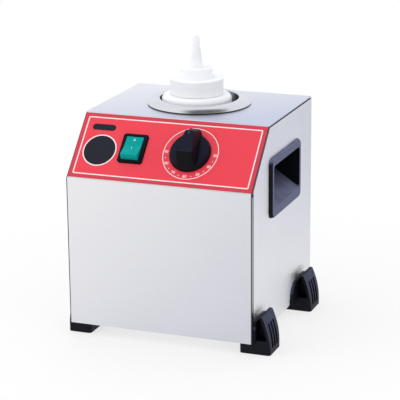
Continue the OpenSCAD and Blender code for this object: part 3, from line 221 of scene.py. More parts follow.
# Cold-rolled 304 sheet with a ground satin finish: long fine lines that stretch
# the highlights across them, and soft cloudy patches from handling
def satinStainless(name, grainAxis, roughness, edgeShades):
    material, tree, shader, where = newMaterial(name, {"Metallic": 1.0, "Anisotropic": 0.5})
    grainIndex = "XYZ".index(grainAxis)
    scale = [scaleOf(grit["width"])] * 3
    scale[grainIndex] = scaleOf(grit["length"])
    stretched = addNode(tree, "ShaderNodeMapping", inputs={"Vector": where, "Scale": scale})
    lines = addNode(tree, "ShaderNodeTexNoise", inputs={
        "Vector": stretched.outputs["Vector"], "Scale": 1.0, "Detail": 5.0, "Roughness": 0.62})
    cloud = addNode(tree, "ShaderNodeTexNoise", inputs={
        "Vector": where, "Scale": scaleOf(grit["cloud"]), "Detail": 3.0, "Roughness": 0.5})
    tone = addNode(tree, "ShaderNodeMixRGB", inputs={
        0: lines.outputs["Fac"], 1: linear("#EEEEF1"), 2: linear("#F6F6F8")})
    shade = addNode(tree, "ShaderNodeMixRGB", {"blend_type": "MULTIPLY"}, {
        0: 0.06, 1: tone.outputs["Color"], 2: cloud.outputs["Fac"]})
    place = addNode(tree, "ShaderNodeSeparateXYZ", inputs={"Vector": where})
    # Painted reflection on the top and front, then painted shade along the edges and in the seam groove
    paintedReflection = paintedReflectionColour(tree, where, place, shade)
    edgeShaded = paintedEdgeShadeColour(tree, where, place, paintedReflection, edgeShades)
    gloss = addNode(tree, "ShaderNodeMapRange", inputs={
        "Value": lines.outputs["Fac"], "From Min": 0.25, "From Max": 0.75,
        "To Min": roughness - 0.04, "To Max": roughness + 0.04})
    patch = addNode(tree, "ShaderNodeMapRange", inputs={
        "Value": cloud.outputs["Fac"], "From Min": 0.3, "From Max": 0.7, "To Min": -0.03, "To Max": 0.04})
    rough = addNode(tree, "ShaderNodeMath", {"operation": "ADD"}, {
        0: gloss.outputs[0], 1: patch.outputs[0]})
    relief = addNode(tree, "ShaderNodeBump", inputs={
        "Height": lines.outputs["Fac"], "Strength": 0.05, "Distance": 0.02 * mm})
    way = addNode(tree, "ShaderNodeCombineXYZ", inputs={grainIndex: 1.0})
    dress(tree, shader, {"Base Color": edgeShaded, "Roughness": rough, "Normal": relief, "Tangent": way})
    return material


# Deep-drawn and polished 304: near-mirror, with faint rings from the spinning lathe
def polishedStainless(name, centre):
    material, tree, shader, where = newMaterial(name, {"Metallic": 1.0})
    shifted = addNode(tree, "ShaderNodeVectorMath", {"operation": "SUBTRACT"}, {0: where, 1: centre})
    rings = addNode(tree, "ShaderNodeTexWave", {"wave_type": "RINGS", "rings_direction": "Z"}, {
        "Vector": shifted.outputs["Vector"], "Scale": waveScaleOf(0.8), "Distortion": 1.5, "Detail": 3.0})
    smear = addNode(tree, "ShaderNodeTexNoise", inputs={
        "Vector": where, "Scale": scaleOf(18), "Detail": 4.0})
    tone = addNode(tree, "ShaderNodeMixRGB", inputs={
        0: smear.outputs["Fac"], 1: linear("#D6D7DC"), 2: linear("#E9EAED")})
    gloss = addNode(tree, "ShaderNodeMapRange", inputs={
        "Value": smear.outputs["Fac"], "From Min": 0.3, "From Max": 0.7, "To Min": 0.16, "To Max": 0.26})
    relief = addNode(tree, "ShaderNodeBump", inputs={
        "Height": rings.outputs["Fac"], "Strength": 0.06, "Distance": 0.02 * mm})
    dress(tree, shader, {"Base Color": tone, "Roughness": gloss, "Normal": relief})
    return material


# Zinc-plated steel: grey-white with a blue and straw cast, slightly cloudy
def zincPlatedSteel(name):
    material, tree, shader, where = newMaterial(name, {"Metallic": 1.0})
    cast = addNode(tree, "ShaderNodeTexNoise", inputs={"Vector": where, "Scale": scaleOf(4), "Detail": 4.0})
    grain = addNode(tree, "ShaderNodeTexNoise", inputs={
        "Vector": where, "Scale": scaleOf(0.5), "Detail": 2.0})
    tone = addNode(tree, "ShaderNodeMixRGB", inputs={
        0: cast.outputs["Fac"], 1: linear("#B9BFC9"), 2: linear("#CFCBBE")})
    gloss = addNode(tree, "ShaderNodeMapRange", inputs={
        "Value": cast.outputs["Fac"], "To Min": 0.28, "To Max": 0.46})
    relief = addNode(tree, "ShaderNodeBump", inputs={
        "Height": grain.outputs["Fac"], "Strength": 0.15, "Distance": 0.03 * mm})
    dress(tree, shader, {"Base Color": tone, "Roughness": gloss, "Normal": relief})
    return material


# Share of painted light on a carrying handle: the outward faces of its frame get a painted highlight too,
# and deep in the hollow the slate fades, a painted shade
def handleSheenAndShade(tree, where, facing, share, look):
    aside = distanceAside(tree, where)
    out = addNode(tree, "ShaderNodeSeparateXYZ", inputs={"Vector": facing}).outputs["X"]
    outward = addNode(tree, "ShaderNodeMath", {"operation": "ABSOLUTE"}, {0: out})
    flank = addNode(tree, "ShaderNodeMapRange", {"interpolation_type": "SMOOTHSTEP"}, {
        "Value": outward.outputs[0], "From Min": 0.86, "From Max": 0.99,
        "To Min": 0.0, "To Max": look["flankSheen"]})
    proud = addNode(tree, "ShaderNodeMath", {"operation": "GREATER_THAN"}, {
        0: aside, 1: look["proudFrom"] * mm})
    flankLight = addNode(tree, "ShaderNodeMath", {"operation": "MULTIPLY"}, {
        0: flank.outputs[0], 1: proud.outputs[0]})
    deep = addNode(tree, "ShaderNodeMapRange", {"interpolation_type": "SMOOTHSTEP"}, {
        "Value": aside, "From Min": look["hollowFrom"] * mm, "From Max": look["hollowTo"] * mm,
        "To Min": 0.1, "To Max": 1.0})
    near = addNode(tree, "ShaderNodeMath", {"operation": "MULTIPLY"}, {0: share, 1: deep.outputs[0]})
    most = addNode(tree, "ShaderNodeMath", {"operation": "MAXIMUM"}, {
        0: near.outputs[0], 1: flankLight.outputs[0]})
    return most.outputs[0]


# Moulded black plastic with a spark-eroded texture: blue-black, and slate where it looks up, a painted
# reflection of the bright room, in patches. With a flat share below one, faces that point straight up stay
# dark, a painted shade in the feet's hollows.
def mouldedBlack(name, look):
    material, tree, shader, where = newMaterial(name, {"IOR": 1.53, "Specular IOR Level": look["gloss"]})
    pits = addNode(tree, "ShaderNodeTexNoise", inputs={
        "Vector": where, "Scale": scaleOf(look["grain"]), "Detail": 3.0, "Roughness": 0.6})
    flow = addNode(tree, "ShaderNodeTexNoise", inputs={
        "Vector": where, "Scale": scaleOf(14), "Detail": 4.0})
    facing = addNode(tree, "ShaderNodeNewGeometry").outputs["Normal"]
    upward = addNode(tree, "ShaderNodeSeparateXYZ", inputs={"Vector": facing}).outputs["Z"]
    lift = addNode(tree, "ShaderNodeMapRange", {"interpolation_type": "SMOOTHSTEP"}, {
        "Value": upward, "From Min": look["sheenFrom"], "From Max": look["sheenTo"],
        "To Min": 0.0, "To Max": 0.9})
    flat = addNode(tree, "ShaderNodeMapRange", {"interpolation_type": "SMOOTHSTEP"}, {
        "Value": upward, "From Min": 0.86, "From Max": 0.97, "To Min": 1.0, "To Max": look["flatFloorSheen"]})
    patchy = addNode(tree, "ShaderNodeMapRange", inputs={
        "Value": flow.outputs["Fac"], "From Min": 0.3, "From Max": 0.7, "To Min": 0.75, "To Max": 1.1})
    paintedReflection = addNode(tree, "ShaderNodeMath", {"operation": "MULTIPLY"}, {
        0: lift.outputs[0], 1: patchy.outputs[0]})
    both = addNode(tree, "ShaderNodeMath", {"operation": "MULTIPLY"}, {
        0: paintedReflection.outputs[0], 1: flat.outputs[0]})
    share = both.outputs[0]
    if "flankSheen" in look:
        share = handleSheenAndShade(tree, where, facing, share, look)
    tone = addNode(tree, "ShaderNodeMixRGB", inputs={
        0: share, 1: linear(look["dark"]), 2: linear(look["paintedReflection"])})
    gloss = addNode(tree, "ShaderNodeMapRange", inputs={
        "Value": pits.outputs["Fac"], "From Min": 0.3, "From Max": 0.7,
        "To Min": look["roughness"] - 0.05, "To Max": look["roughness"] + 0.08})
    relief = addNode(tree, "ShaderNodeBump", inputs={
        "Height": pits.outputs["Fac"], "Strength": 0.22, "Distance": 0.05 * mm})
    dress(tree, shader, {"Base Color": tone, "Roughness": gloss, "Normal": relief})
    return material


# EPDM rubber: dull, with a faint bloom
def softRubber(name, colour, bloom):
    material, tree, shader, where = newMaterial(name, {"IOR": 1.52, "Sheen Weight": 0.15})
    dust = addNode(tree, "ShaderNodeTexNoise", inputs={"Vector": where, "Scale": scaleOf(6), "Detail": 4.0})
    fine = addNode(tree, "ShaderNodeTexNoise", inputs={
        "Vector": where, "Scale": scaleOf(0.6), "Detail": 2.0})
    tone = addNode(tree, "ShaderNodeMixRGB", inputs={
        0: dust.outputs["Fac"], 1: linear(colour), 2: linear(bloom)})
    gloss = addNode(tree, "ShaderNodeMapRange", inputs={
        "Value": dust.outputs["Fac"], "To Min": 0.62, "To Max": 0.82})
    relief = addNode(tree, "ShaderNodeBump", inputs={
        "Height": fine.outputs["Fac"], "Strength": 0.2, "Distance": 0.05 * mm})
    dress(tree, shader, {"Base Color": tone, "Roughness": gloss, "Normal": relief})
    return material


# Low-density polyethylene, blow moulded: milky, light soaks in a few millimetres
def milkyPolyethylene(name):
    material, tree, shader, where = newMaterial(name, {
        "IOR": 1.51, "Subsurface Weight": 0.30, "Subsurface Radius": (1.0, 0.95, 0.9),
        "Subsurface Scale": 3 * mm})
    wave = addNode(tree, "ShaderNodeTexNoise", inputs={"Vector": where, "Scale": scaleOf(9), "Detail": 2.0})
    fine = addNode(tree, "ShaderNodeTexNoise", inputs={
        "Vector": where, "Scale": scaleOf(0.8), "Detail": 2.0})
    tone = addNode(tree, "ShaderNodeMixRGB", inputs={
        0: wave.outputs["Fac"], 1: linear("#F4F7FC"), 2: linear("#FAFBFF")})
    gloss = addNode(tree, "ShaderNodeMapRange", inputs={
        "Value": wave.outputs["Fac"], "To Min": 0.34, "To Max": 0.46})
    soft = addNode(tree, "ShaderNodeBump", inputs={
        "Height": wave.outputs["Fac"], "Strength": 0.10, "Distance": 0.4 * mm})
    relief = addNode(tree, "ShaderNodeBump", inputs={
        "Height": fine.outputs["Fac"], "Strength": 0.08, "Distance": 0.05 * mm,
        "Normal": soft.outputs["Normal"]})
    dress(tree, shader, {"Base Color": tone, "Roughness": gloss, "Normal": relief})
    return material


# Tinted polycarbonate: smooth, saturated, and light soaks a little way in
def tintedPolycarbonate(name, deep, bright):
    material, tree, shader, where = newMaterial(name, {
        "IOR": 1.58, "Specular IOR Level": 0.05, "Subsurface Weight": 0.2,
        "Subsurface Radius": (0.2, 1.0, 0.9), "Subsurface Scale": 1.5 * mm})
    haze = addNode(tree, "ShaderNodeTexNoise", inputs={"Vector": where, "Scale": scaleOf(7), "Detail": 3.0})
    tone = addNode(tree, "ShaderNodeMixRGB", inputs={
        0: haze.outputs["Fac"], 1: linear(deep), 2: linear(bright)})
    gloss = addNode(tree, "ShaderNodeMapRange", inputs={
        "Value": haze.outputs["Fac"], "To Min": 0.2, "To Max": 0.3})
    dress(tree, shader, {"Base Color": tone, "Roughness": gloss})
    return material


# Drawn or stamped copper alloy: warm metal, browned in patches
def copperAlloy(name, bright, tarnished):
    material, tree, shader, where = newMaterial(name, {"Metallic": 1.0})
    age = addNode(tree, "ShaderNodeTexNoise", inputs={"Vector": where, "Scale": scaleOf(5), "Detail": 5.0})
    lines = addNode(tree, "ShaderNodeTexNoise", inputs={
        "Vector": where, "Scale": scaleOf(0.7), "Detail": 2.0})
    tone = addNode(tree, "ShaderNodeMixRGB", inputs={
        0: age.outputs["Fac"], 1: linear(bright), 2: linear(tarnished)})
    gloss = addNode(tree, "ShaderNodeMapRange", inputs={
        "Value": age.outputs["Fac"], "To Min": 0.2, "To Max": 0.42})
    relief = addNode(tree, "ShaderNodeBump", inputs={
        "Height": lines.outputs["Fac"], "Strength": 0.1, "Distance": 0.03 * mm})
    dress(tree, shader, {"Base Color": tone, "Roughness": gloss, "Normal": relief})
    return material


# Steatite: cream, unglazed, with fine dark specks
def firedSteatite(name):
    material, tree, shader, where = newMaterial(name, {"IOR": 1.55, "Roughness": 0.7})
    specks = addNode(tree, "ShaderNodeTexVoronoi", {"feature": "F1"}, {
        "Vector": where, "Scale": scaleOf(1.2)})
    mask = addNode(tree, "ShaderNodeMapRange", inputs={
        "Value": specks.outputs["Distance"], "From Min": 0.08, "From Max": 0.16})
    tone = addNode(tree, "ShaderNodeMixRGB", inputs={
        0: mask.outputs[0], 1: linear("#B8AD99"), 2: linear("#E8E2D6")})
    fine = addNode(tree, "ShaderNodeTexNoise", inputs={
        "Vector": where, "Scale": scaleOf(0.4), "Detail": 3.0})
    relief = addNode(tree, "ShaderNodeBump", inputs={
        "Height": fine.outputs["Fac"], "Strength": 0.3, "Distance": 0.06 * mm})
    dress(tree, shader, {"Base Color": tone, "Normal": relief})
    return material


# Silicone rubber heater mat: brick red, with the print of the glass cloth inside it
def siliconeMat(name):
    material, tree, shader, where = newMaterial(name, {"IOR": 1.41, "Roughness": 0.55})
    thread = waveScaleOf(1.0)
    turned = addNode(tree, "ShaderNodeTexWave", {"bands_direction": "Z"}, {
        "Vector": where, "Scale": thread})
    across = addNode(tree, "ShaderNodeTexWave", {"bands_direction": "DIAGONAL"}, {
        "Vector": where, "Scale": thread})
    weave = addNode(tree, "ShaderNodeMath", {"operation": "MAXIMUM"}, {
        0: turned.outputs["Fac"], 1: across.outputs["Fac"]})
    tone = addNode(tree, "ShaderNodeMixRGB", inputs={
        0: weave.outputs[0], 1: linear("#9C3C28"), 2: linear("#C4553A")})
    relief = addNode(tree, "ShaderNodeBump", inputs={
        "Height": weave.outputs[0], "Strength": 0.4, "Distance": 0.1 * mm})
    dress(tree, shader, {"Base Color": tone, "Normal": relief})
    return material


# Needled glass wool: cream fibres lying in all directions, no gloss at all
def needledGlassWool(name):
    material, tree, shader, where = newMaterial(name, {"IOR": 1.5, "Roughness": 0.95, "Sheen Weight": 0.4})
    fibre = addNode(tree, "ShaderNodeTexNoise", inputs={
        "Vector": where, "Scale": scaleOf(3), "Detail": 8.0, "Roughness": 0.75, "Distortion": 2.5})
    tone = addNode(tree, "ShaderNodeMixRGB", inputs={
        0: fibre.outputs["Fac"], 1: linear("#CFC6AA"), 2: linear("#F0EBDD")})
    relief = addNode(tree, "ShaderNodeBump", inputs={
        "Height": fibre.outputs["Fac"], "Strength": 0.8, "Distance": 0.8 * mm})
    dress(tree, shader, {"Base Color": tone, "Normal": relief})
    return material


# White line round the label's field, in mm on the control panel
frameLine = {"halfWidth": 90.3, "low": 5.7, "high": 70.0, "width": 1.2, "corner": 1.5, "innerCorner": 0.7}


# One in the label's border, outside the middle of the white line
def labelBorder(tree, where):
    middleOfLine = 0.5  # mm inward from the line's outer edge
    fold = addNode(tree, "ShaderNodeVectorMath", {"operation": "SUBTRACT"}, {0: where, 1: foldPoint})
    upSlope = addNode(tree, "ShaderNodeVectorMath", {"operation": "DOT_PRODUCT"}, {
        0: fold.outputs["Vector"], 1: (0, math.cos(slopeAngle), math.sin(slopeAngle))})
    outX = addNode(tree, "ShaderNodeMath", {"operation": "GREATER_THAN"}, {
        0: distanceAside(tree, where), 1: (frameLine["halfWidth"] - middleOfLine) * mm})
    above = addNode(tree, "ShaderNodeMath", {"operation": "GREATER_THAN"}, {
        0: upSlope.outputs["Value"], 1: (frameLine["high"] - middleOfLine) * mm})
    below = addNode(tree, "ShaderNodeMath", {"operation": "LESS_THAN"}, {
        0: upSlope.outputs["Value"], 1: (frameLine["low"] + middleOfLine) * mm})
    outY = addNode(tree, "ShaderNodeMath", {"operation": "MAXIMUM"}, {
        0: above.outputs[0], 1: below.outputs[0]})
    either = addNode(tree, "ShaderNodeMath", {"operation": "MAXIMUM"}, {
        0: outX.outputs[0], 1: outY.outputs[0]})
    return either.outputs[0]


# Screen-printed polyester film: satin lacquer over a flat red, deeper red in the border
def printedFilm(name, colours):
    material, tree, shader, where = newMaterial(name, {"IOR": 1.57, "Specular IOR Level": 0.35})
    ink = addNode(tree, "ShaderNodeTexNoise", inputs={"Vector": where, "Scale": scaleOf(12), "Detail": 4.0})
    peel = addNode(tree, "ShaderNodeTexNoise", inputs={
        "Vector": where, "Scale": scaleOf(0.9), "Detail": 2.0})
    field = addNode(tree, "ShaderNodeMixRGB", inputs={
        0: ink.outputs["Fac"], 1: linear(colours["field"]), 2: linear(colours["fieldLight"])})
    tone = addNode(tree, "ShaderNodeMixRGB", inputs={
        0: labelBorder(tree, where), 1: field.outputs["Color"], 2: linear(colours["border"])})
    gloss = addNode(tree, "ShaderNodeMapRange", inputs={
        "Value": ink.outputs["Fac"], "To Min": 0.36, "To Max": 0.48})
    relief = addNode(tree, "ShaderNodeBump", inputs={
        "Height": peel.outputs["Fac"], "Strength": 0.10, "Distance": 0.03 * mm})
    dress(tree, shader, {"Base Color": tone, "Roughness": gloss, "Normal": relief})
    return material


# Screen-printing ink: a dull opaque layer with slightly uneven cover
def screenInk(name, full, thin):
    material, tree, shader, where = newMaterial(name, {"IOR": 1.5, "Specular IOR Level": 0.2})
    cover = addNode(tree, "ShaderNodeTexNoise", inputs={
        "Vector": where, "Scale": scaleOf(2.5), "Detail": 4.0})
    tone = addNode(tree, "ShaderNodeMixRGB", inputs={
        0: cover.outputs["Fac"], 1: linear(full), 2: linear(thin)})
    gloss = addNode(tree, "ShaderNodeMapRange", inputs={
        "Value": cover.outputs["Fac"], "To Min": 0.4, "To Max": 0.55})
    dress(tree, shader, {"Base Color": tone, "Roughness": gloss})
    return material


# Materials of the object's pieces

wellCentre = (-8.9 * mm, 17.5 * mm, 0)
satinFront = satinStainless("satinStainlessSheet", "X", 0.33, [shadedReturn, paintedCornerShade])
satinSide = satinStainless("satinStainlessSide", "Y", 0.46, [paintedGrooveShade])
polishedSteel = polishedStainless("polishedStainlessPot", wellCentre)
zincSteel = zincPlatedSteel("zincPlatedSteel")
# The second colour of each black plastic is its painted slate reflection on faces that look up
blackAbs = mouldedBlack("texturedBlackAbs", {
    "dark": "#08090F", "paintedReflection": "#6D7290", "roughness": 0.5, "gloss": 0.10, "grain": 0.7,
    "sheenFrom": 0.05, "sheenTo": 0.7, "flatFloorSheen": 1.0,
    # painted highlight on the frame's outer flanks, painted shade deep in the hollow
    "flankSheen": 0.7, "proudFrom": 95.2, "hollowFrom": 68, "hollowTo": 94})
blackFeet = mouldedBlack("mouldedBlackPolypropylene", {
    "dark": "#0A0C16", "paintedReflection": "#373C57", "roughness": 0.5, "gloss": 0.14, "grain": 0.8,
    "sheenFrom": 0.0, "sheenTo": 0.4, "flatFloorSheen": 0.0})
blackKnob = mouldedBlack("phenolicBlackKnob", {
    "dark": "#07080E", "paintedReflection": "#1C1F33", "roughness": 0.36, "gloss": 0.09, "grain": 0.6,
    "sheenFrom": 0.05, "sheenTo": 0.9, "flatFloorSheen": 1.0})
blackNylon = mouldedBlack("moulded66Nylon", {
    "dark": "#0C0C12", "paintedReflection": "#16161E", "roughness": 0.38, "gloss": 0.08, "grain": 0.5,
    "sheenFrom": 0.05, "sheenTo": 0.9, "flatFloorSheen": 1.0})
sealRubber = softRubber("blackEpdmRubber", "#121214", "#232327")
milkPlastic = milkyPolyethylene("milkyPolyethylene")
tealPlastic = tintedPolycarbonate("tealTintedPolycarbonate", "#00908A", "#00A7A4")
stampedBrass = copperAlloy("stampedBrass", "#D2AC5A", "#A8813B")
drawnCopper = copperAlloy("drawnCopper", "#C27A4E", "#8A4F31")
steatite = firedSteatite("firedSteatite")
heaterMat = siliconeMat("siliconeHeaterMat")
glassWool = needledGlassWool("needledGlassWool")
redFilm = printedFilm("redPolyesterFilm", {
    "field": "#E73346", "fieldLight": "#EB3A4C", "border": "#CE3346"})
whiteInk = screenInk("whiteScreenInk", "#F6EEEE", "#F0D9DC")
blackInk = screenInk("blackScreenInk", "#181924", "#20212D")
wornInk = screenInk("wornGreyInk", "#5E5867", "#37343F")

materialOf = {
    satinFront: ["front_sheet", "base_plate", "rear_cover"],
    satinSide: ["side_panel_left", "side_panel_right"],
    polishedSteel: ["well_pot", "bulb_pocket"],
    zincSteel: ["thermostat_shaft", "thermostat_body", "thermostat_screws", "well_clamp_ring",
                "well_clamp_screws", "heater_clamp_screw", "cutout_screws", "foot_screws", "foot_nuts",
                "rear_cover_screws"],
    redFilm: ["control_label"],
    blackAbs: ["handle_left", "handle_right"],
    blackFeet: ["foot_front_left", "foot_front_right", "foot_rear_left", "foot_rear_right"],
    blackKnob: ["thermostat_knob"],
    blackNylon: ["switch_housing", "gland_body", "gland_nut", "gland_locknut", "thermal_cutout"],
    sealRubber: ["rim_seal", "gland_seal"],
    milkPlastic: ["bottle", "bottle_cap", "cap_liner"],
    tealPlastic: ["switch_rocker"],
    stampedBrass: ["switch_terminals", "thermostat_terminals", "terminal_screws", "earth_stud",
                   "earth_nut"],
    drawnCopper: ["thermostat_bulb", "thermostat_capillary"],
    steatite: ["terminal_block"],
    heaterMat: ["heater_band"],
    glassWool: ["insulation_sleeve"],
}
for material, names in materialOf.items():
    for name in names:
        for slot in nodes[name].material_slots:
            slot.material = material
print("materials ready")

# Small rounds that catch the light on the edges of the moulded pieces, in mm

edgeRounds = {
    "thermostat_knob": 0.7, "handle_left": 0.6, "handle_right": 0.6, "foot_front_right": 0.6,
    "foot_rear_right": 0.6, "foot_front_left": 0.5, "foot_rear_left": 0.5, "switch_housing": 0.35,
    "switch_rocker": 0.4, "gland_nut": 0.4, "gland_body": 0.4,
}
sharpestLeft = 35  # degrees: flatter edges than this stay as they are


def roundEdges(obj, width):
    bevel = obj.modifiers.new("edgeRound", "BEVEL")
    bevel.width = width * mm
    bevel.segments = 3
    bevel.limit_method = "ANGLE"
    bevel.angle_limit = math.radians(sharpestLeft)
    bevel.harden_normals = True


for name, width in edgeRounds.items():
    roundEdges(nodes[name], width)

# Tools for the printing. Its sizes are mm on the control panel, its angles degrees.

ink = {"labelTop": 0.3, "sunk": 0.01, "height": 0.04}  # mm above the sheet, and into and over the label


def addPiece(name, data, material, body, place):
    piece = bpy.data.objects.new(name, data)
    bpy.context.collection.objects.link(piece)
    piece.matrix_world = place
    data.materials.append(material)
    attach(piece, body)


def roundedLoop(halfX, halfY, radius, centre=(0, 0), steps=8):
    corners = [(1, 1, 0), (-1, 1, 90), (-1, -1, 180), (1, -1, 270)]
    loop = []
    for signX, signY, start in corners:
        for i in range(steps + 1):
            turn = math.radians(start + 90 * i / steps)
            loop.append((centre[0] + signX * (halfX - radius) + radius * math.cos(turn),
                         centre[1] + signY * (halfY - radius) + radius * math.sin(turn)))
    return loop


def circleLoop(centre, radius, steps=96):
    turns = [2 * math.pi * i / steps for i in range(steps)]
    return [(centre[0] + radius * math.cos(turn), centre[1] + radius * math.sin(turn)) for turn in turns]


# Fills shapes from z0 to z1: each is an outer loop, or an outer and an inner loop of equal length
def layerMesh(name, shapes, z0, z1):
    build = bmesh.new()
    for shape in shapes:
        rows = [[build.verts.new((x * mm, y * mm, z * mm)) for x, y in loop]
                for z in (z0, z1) for loop in shape]
        count = len(rows[0])
        if len(shape) == 1:
            low, high = rows
            build.faces.new(reversed(low))
            build.faces.new(high)
            walls = [(low, high)]
        else:
            lowOuter, lowInner, highOuter, highInner = rows
            walls = [(lowOuter, highOuter), (highInner, lowInner),
                     (highOuter, highInner), (lowInner, lowOuter)]
        for a, b in walls:
            for i in range(count):
                j = (i + 1) % count
                build.faces.new((a[i], a[j], b[j], b[i]))
    bmesh.ops.recalc_face_normals(build, faces=build.faces)
    mesh = bpy.data.meshes.new(name)
    build.to_mesh(mesh)
    build.free()
    return mesh


def printOnLabel(name, shapes, material):
    mesh = layerMesh(name, shapes, ink["labelTop"] - ink["sunk"], ink["labelTop"] + ink["height"])
    addPiece(name, mesh, material, "casing", slopeFrame)


# White line round the label

frameMiddle = (0, (frameLine["low"] + frameLine["high"]) / 2)
frameHalfHigh = (frameLine["high"] - frameLine["low"]) / 2
frameOuter = roundedLoop(frameLine["halfWidth"], frameHalfHigh, frameLine["corner"], frameMiddle)
frameInner = roundedLoop(frameLine["halfWidth"] - frameLine["width"], frameHalfHigh - frameLine["width"],
                         frameLine["innerCorner"], frameMiddle)
printOnLabel("labelFrameLine", [[frameOuter, frameInner]], whiteInk)

# Dial: a circle, numbers inside it and a dot between each two numbers

dial = {"centre": (24.3, 37.9), "circle": 27.65, "line": 0.75,
        "dotRadius": 0.45, "dotSteps": 16, "dotRing": 25.0,
        "numberRing": 24.8, "numberSize": 4.0, "numberDepth": 0.03, "numberWeight": 0.06,
        "first": 30, "last": 90, "step": 10, "firstAngle": 0, "stepAngle": -30}


# Point on a ring round the dial's centre, this many steps from the first number
def dialSpot(ring, steps):
    turn = math.radians(dial["firstAngle"] + dial["stepAngle"] * steps)
    return dial["centre"][0] + ring * math.cos(turn), dial["centre"][1] + ring * math.sin(turn)


def addDialNumber(words, spot):
    curve = bpy.data.curves.new("dialNumber" + words, "FONT")
    curve.body = words
    curve.size = dial["numberSize"] * mm
    curve.align_x = "CENTER"
    curve.align_y = "CENTER"
    curve.extrude = dial["numberDepth"] * mm
    curve.offset = dial["numberWeight"] * mm
    place = slopeFrame @ Matrix.Translation(Vector((*spot, ink["labelTop"])) * mm)
    addPiece("dialNumber" + words, curve, whiteInk, "casing", place)


stepCount = (dial["last"] - dial["first"]) // dial["step"]
dialShapes = [[circleLoop(dial["centre"], dial["circle"] + dial["line"] / 2),
               circleLoop(dial["centre"], dial["circle"] - dial["line"] / 2)]]
for i in range(stepCount):
    dot = circleLoop(dialSpot(dial["dotRing"], i + 0.5), dial["dotRadius"], dial["dotSteps"])
    dialShapes.append([dot])
printOnLabel("dialCircle", dialShapes, whiteInk)
for i in range(stepCount + 1):
    addDialNumber(str(dial["first"] + dial["step"] * i), dialSpot(dial["numberRing"], i))

# Plain round badge and plain oblong plate

badge = {"centre": (-69.1, 33.2), "radius": 16.2, "ring": 1.2}
pill = {"centre": (-71.1, 58.8), "halfX": 12.3, "halfY": 3.4, "corner": 3.39}

badgeEdge = circleLoop(badge["centre"], badge["radius"])
badgeRing = circleLoop(badge["centre"], badge["radius"] + badge["ring"])
printOnLabel("plainBadge", [[badgeEdge]], blackInk)
printOnLabel("plainBadgeRing", [[badgeRing, badgeEdge]], whiteInk)
pillLoop = roundedLoop(pill["halfX"], pill["halfY"], pill["corner"], pill["centre"])
printOnLabel("plainPlate", [[pillLoop]], blackInk)
print("label printed")

# Marks on the rocker, moulded in white: a ring for off and a stroke for on

rocker = {"centre": (-35.0, 37.6), "pivotHeight": -0.5, "waist": 4.15, "dish": 6.0, "tilt": -12.0,
          "offAt": 7.8, "onAt": -1.8, "markHeight": 2.2, "markWidth": 1.7, "stroke": 0.45,
          "strokeCorner": 0.15, "sunk": 0.05, "height": 0.04, "slack": 0.01}
rockerPivot = Vector((*rocker["centre"], rocker["pivotHeight"])) * mm
rockerTilt = Matrix.Rotation(math.radians(rocker["tilt"]), 4, "X")
rockerFrame = slopeFrame @ Matrix.Translation(rockerPivot) @ rockerTilt


# Frame on the rocker's dished face, this far up from its waist
def rockerFace(at):
    lift = rocker["waist"] + abs(at) * math.tan(math.radians(rocker["dish"]))
    lean = Matrix.Rotation(math.copysign(math.radians(rocker["dish"]), at), 4, "X")
    return rockerFrame @ Matrix.Translation((0, at * mm, lift * mm)) @ lean


def addRockerMark(name, shape, at):
    mesh = layerMesh(name, [shape], -rocker["sunk"], rocker["height"])
    addPiece(name, mesh, whiteInk, "rocker", rockerFace(at))


markHalfX = rocker["markWidth"] / 2
markHalfY = rocker["markHeight"] / 2
holeHalfX = markHalfX - rocker["stroke"]
holeHalfY = markHalfY - rocker["stroke"]
offRing = [roundedLoop(markHalfX, markHalfY, markHalfX - rocker["slack"]),
           roundedLoop(holeHalfX, holeHalfY, holeHalfX - rocker["slack"])]
onStroke = [roundedLoop(rocker["stroke"] / 2, markHalfY, rocker["strokeCorner"])]
addRockerMark("rockerMarkOff", offRing, rocker["offAt"])
addRockerMark("rockerMarkOn", onStroke, rocker["onAt"])

# Pointer line on the knob's nose, its paint almost worn off

knob = {"centre": (24.0, 38.4), "top": 18.0, "lineFrom": 11.8, "lineTo": 14.4, "lineWidth": 1.1,
        "sunk": 0.1, "height": 0.03}
knobFrame = slopeFrame @ Matrix.Translation(Vector((*knob["centre"], 0)) * mm)
lineSide = knob["lineWidth"] / 2
pointerLine = [(-lineSide, knob["lineFrom"]), (lineSide, knob["lineFrom"]),
               (lineSide, knob["lineTo"]), (-lineSide, knob["lineTo"])]
pointerMesh = layerMesh("knobPointerLine", [[pointerLine]],
                        knob["top"] - knob["sunk"], knob["top"] + knob["height"])
addPiece("knobPointerLine", pointerMesh, wornInk, "knob", knobFrame)
print("switch and knob marked")

# Floor, in metres: pale, with the object's shadow near it, melting into white farther off

floorLook = {"size": 12.0, "drop": 0.0002, "dark": "#F4F4F5", "light": "#F6F6F7", "flecks": 40.0,
             "clearFrom": 0.20, "clearTo": 0.5, "glow": 0.68}


# What the steel mirrors of the floor: a little blue and darker behind the object,
# a little greyer to its right
def mirroredFloor(tree, where, path):
    place = addNode(tree, "ShaderNodeSeparateXYZ", inputs={"Vector": where})
    behind = addNode(tree, "ShaderNodeMapRange", {"interpolation_type": "SMOOTHSTEP"}, {
        "Value": place.outputs["Y"], "From Min": 0.1, "From Max": 0.7})
    rightward = addNode(tree, "ShaderNodeMapRange", {"interpolation_type": "SMOOTHSTEP"}, {
        "Value": place.outputs["X"], "From Min": -0.3, "From Max": 0.3})
    greyer = addNode(tree, "ShaderNodeMixRGB", inputs={
        0: rightward.outputs[0], 1: linear("#FFFFFF"), 2: linear("#F1F2F6")})
    bluer = addNode(tree, "ShaderNodeMixRGB", inputs={
        0: behind.outputs[0], 1: greyer.outputs["Color"], 2: linear("#D3D6E3")})
    tone = addNode(tree, "ShaderNodeMixRGB", inputs={
        0: path.outputs["Is Glossy Ray"], 1: linear("#FFFFFF"), 2: bluer.outputs["Color"]})
    return tone.outputs["Color"]


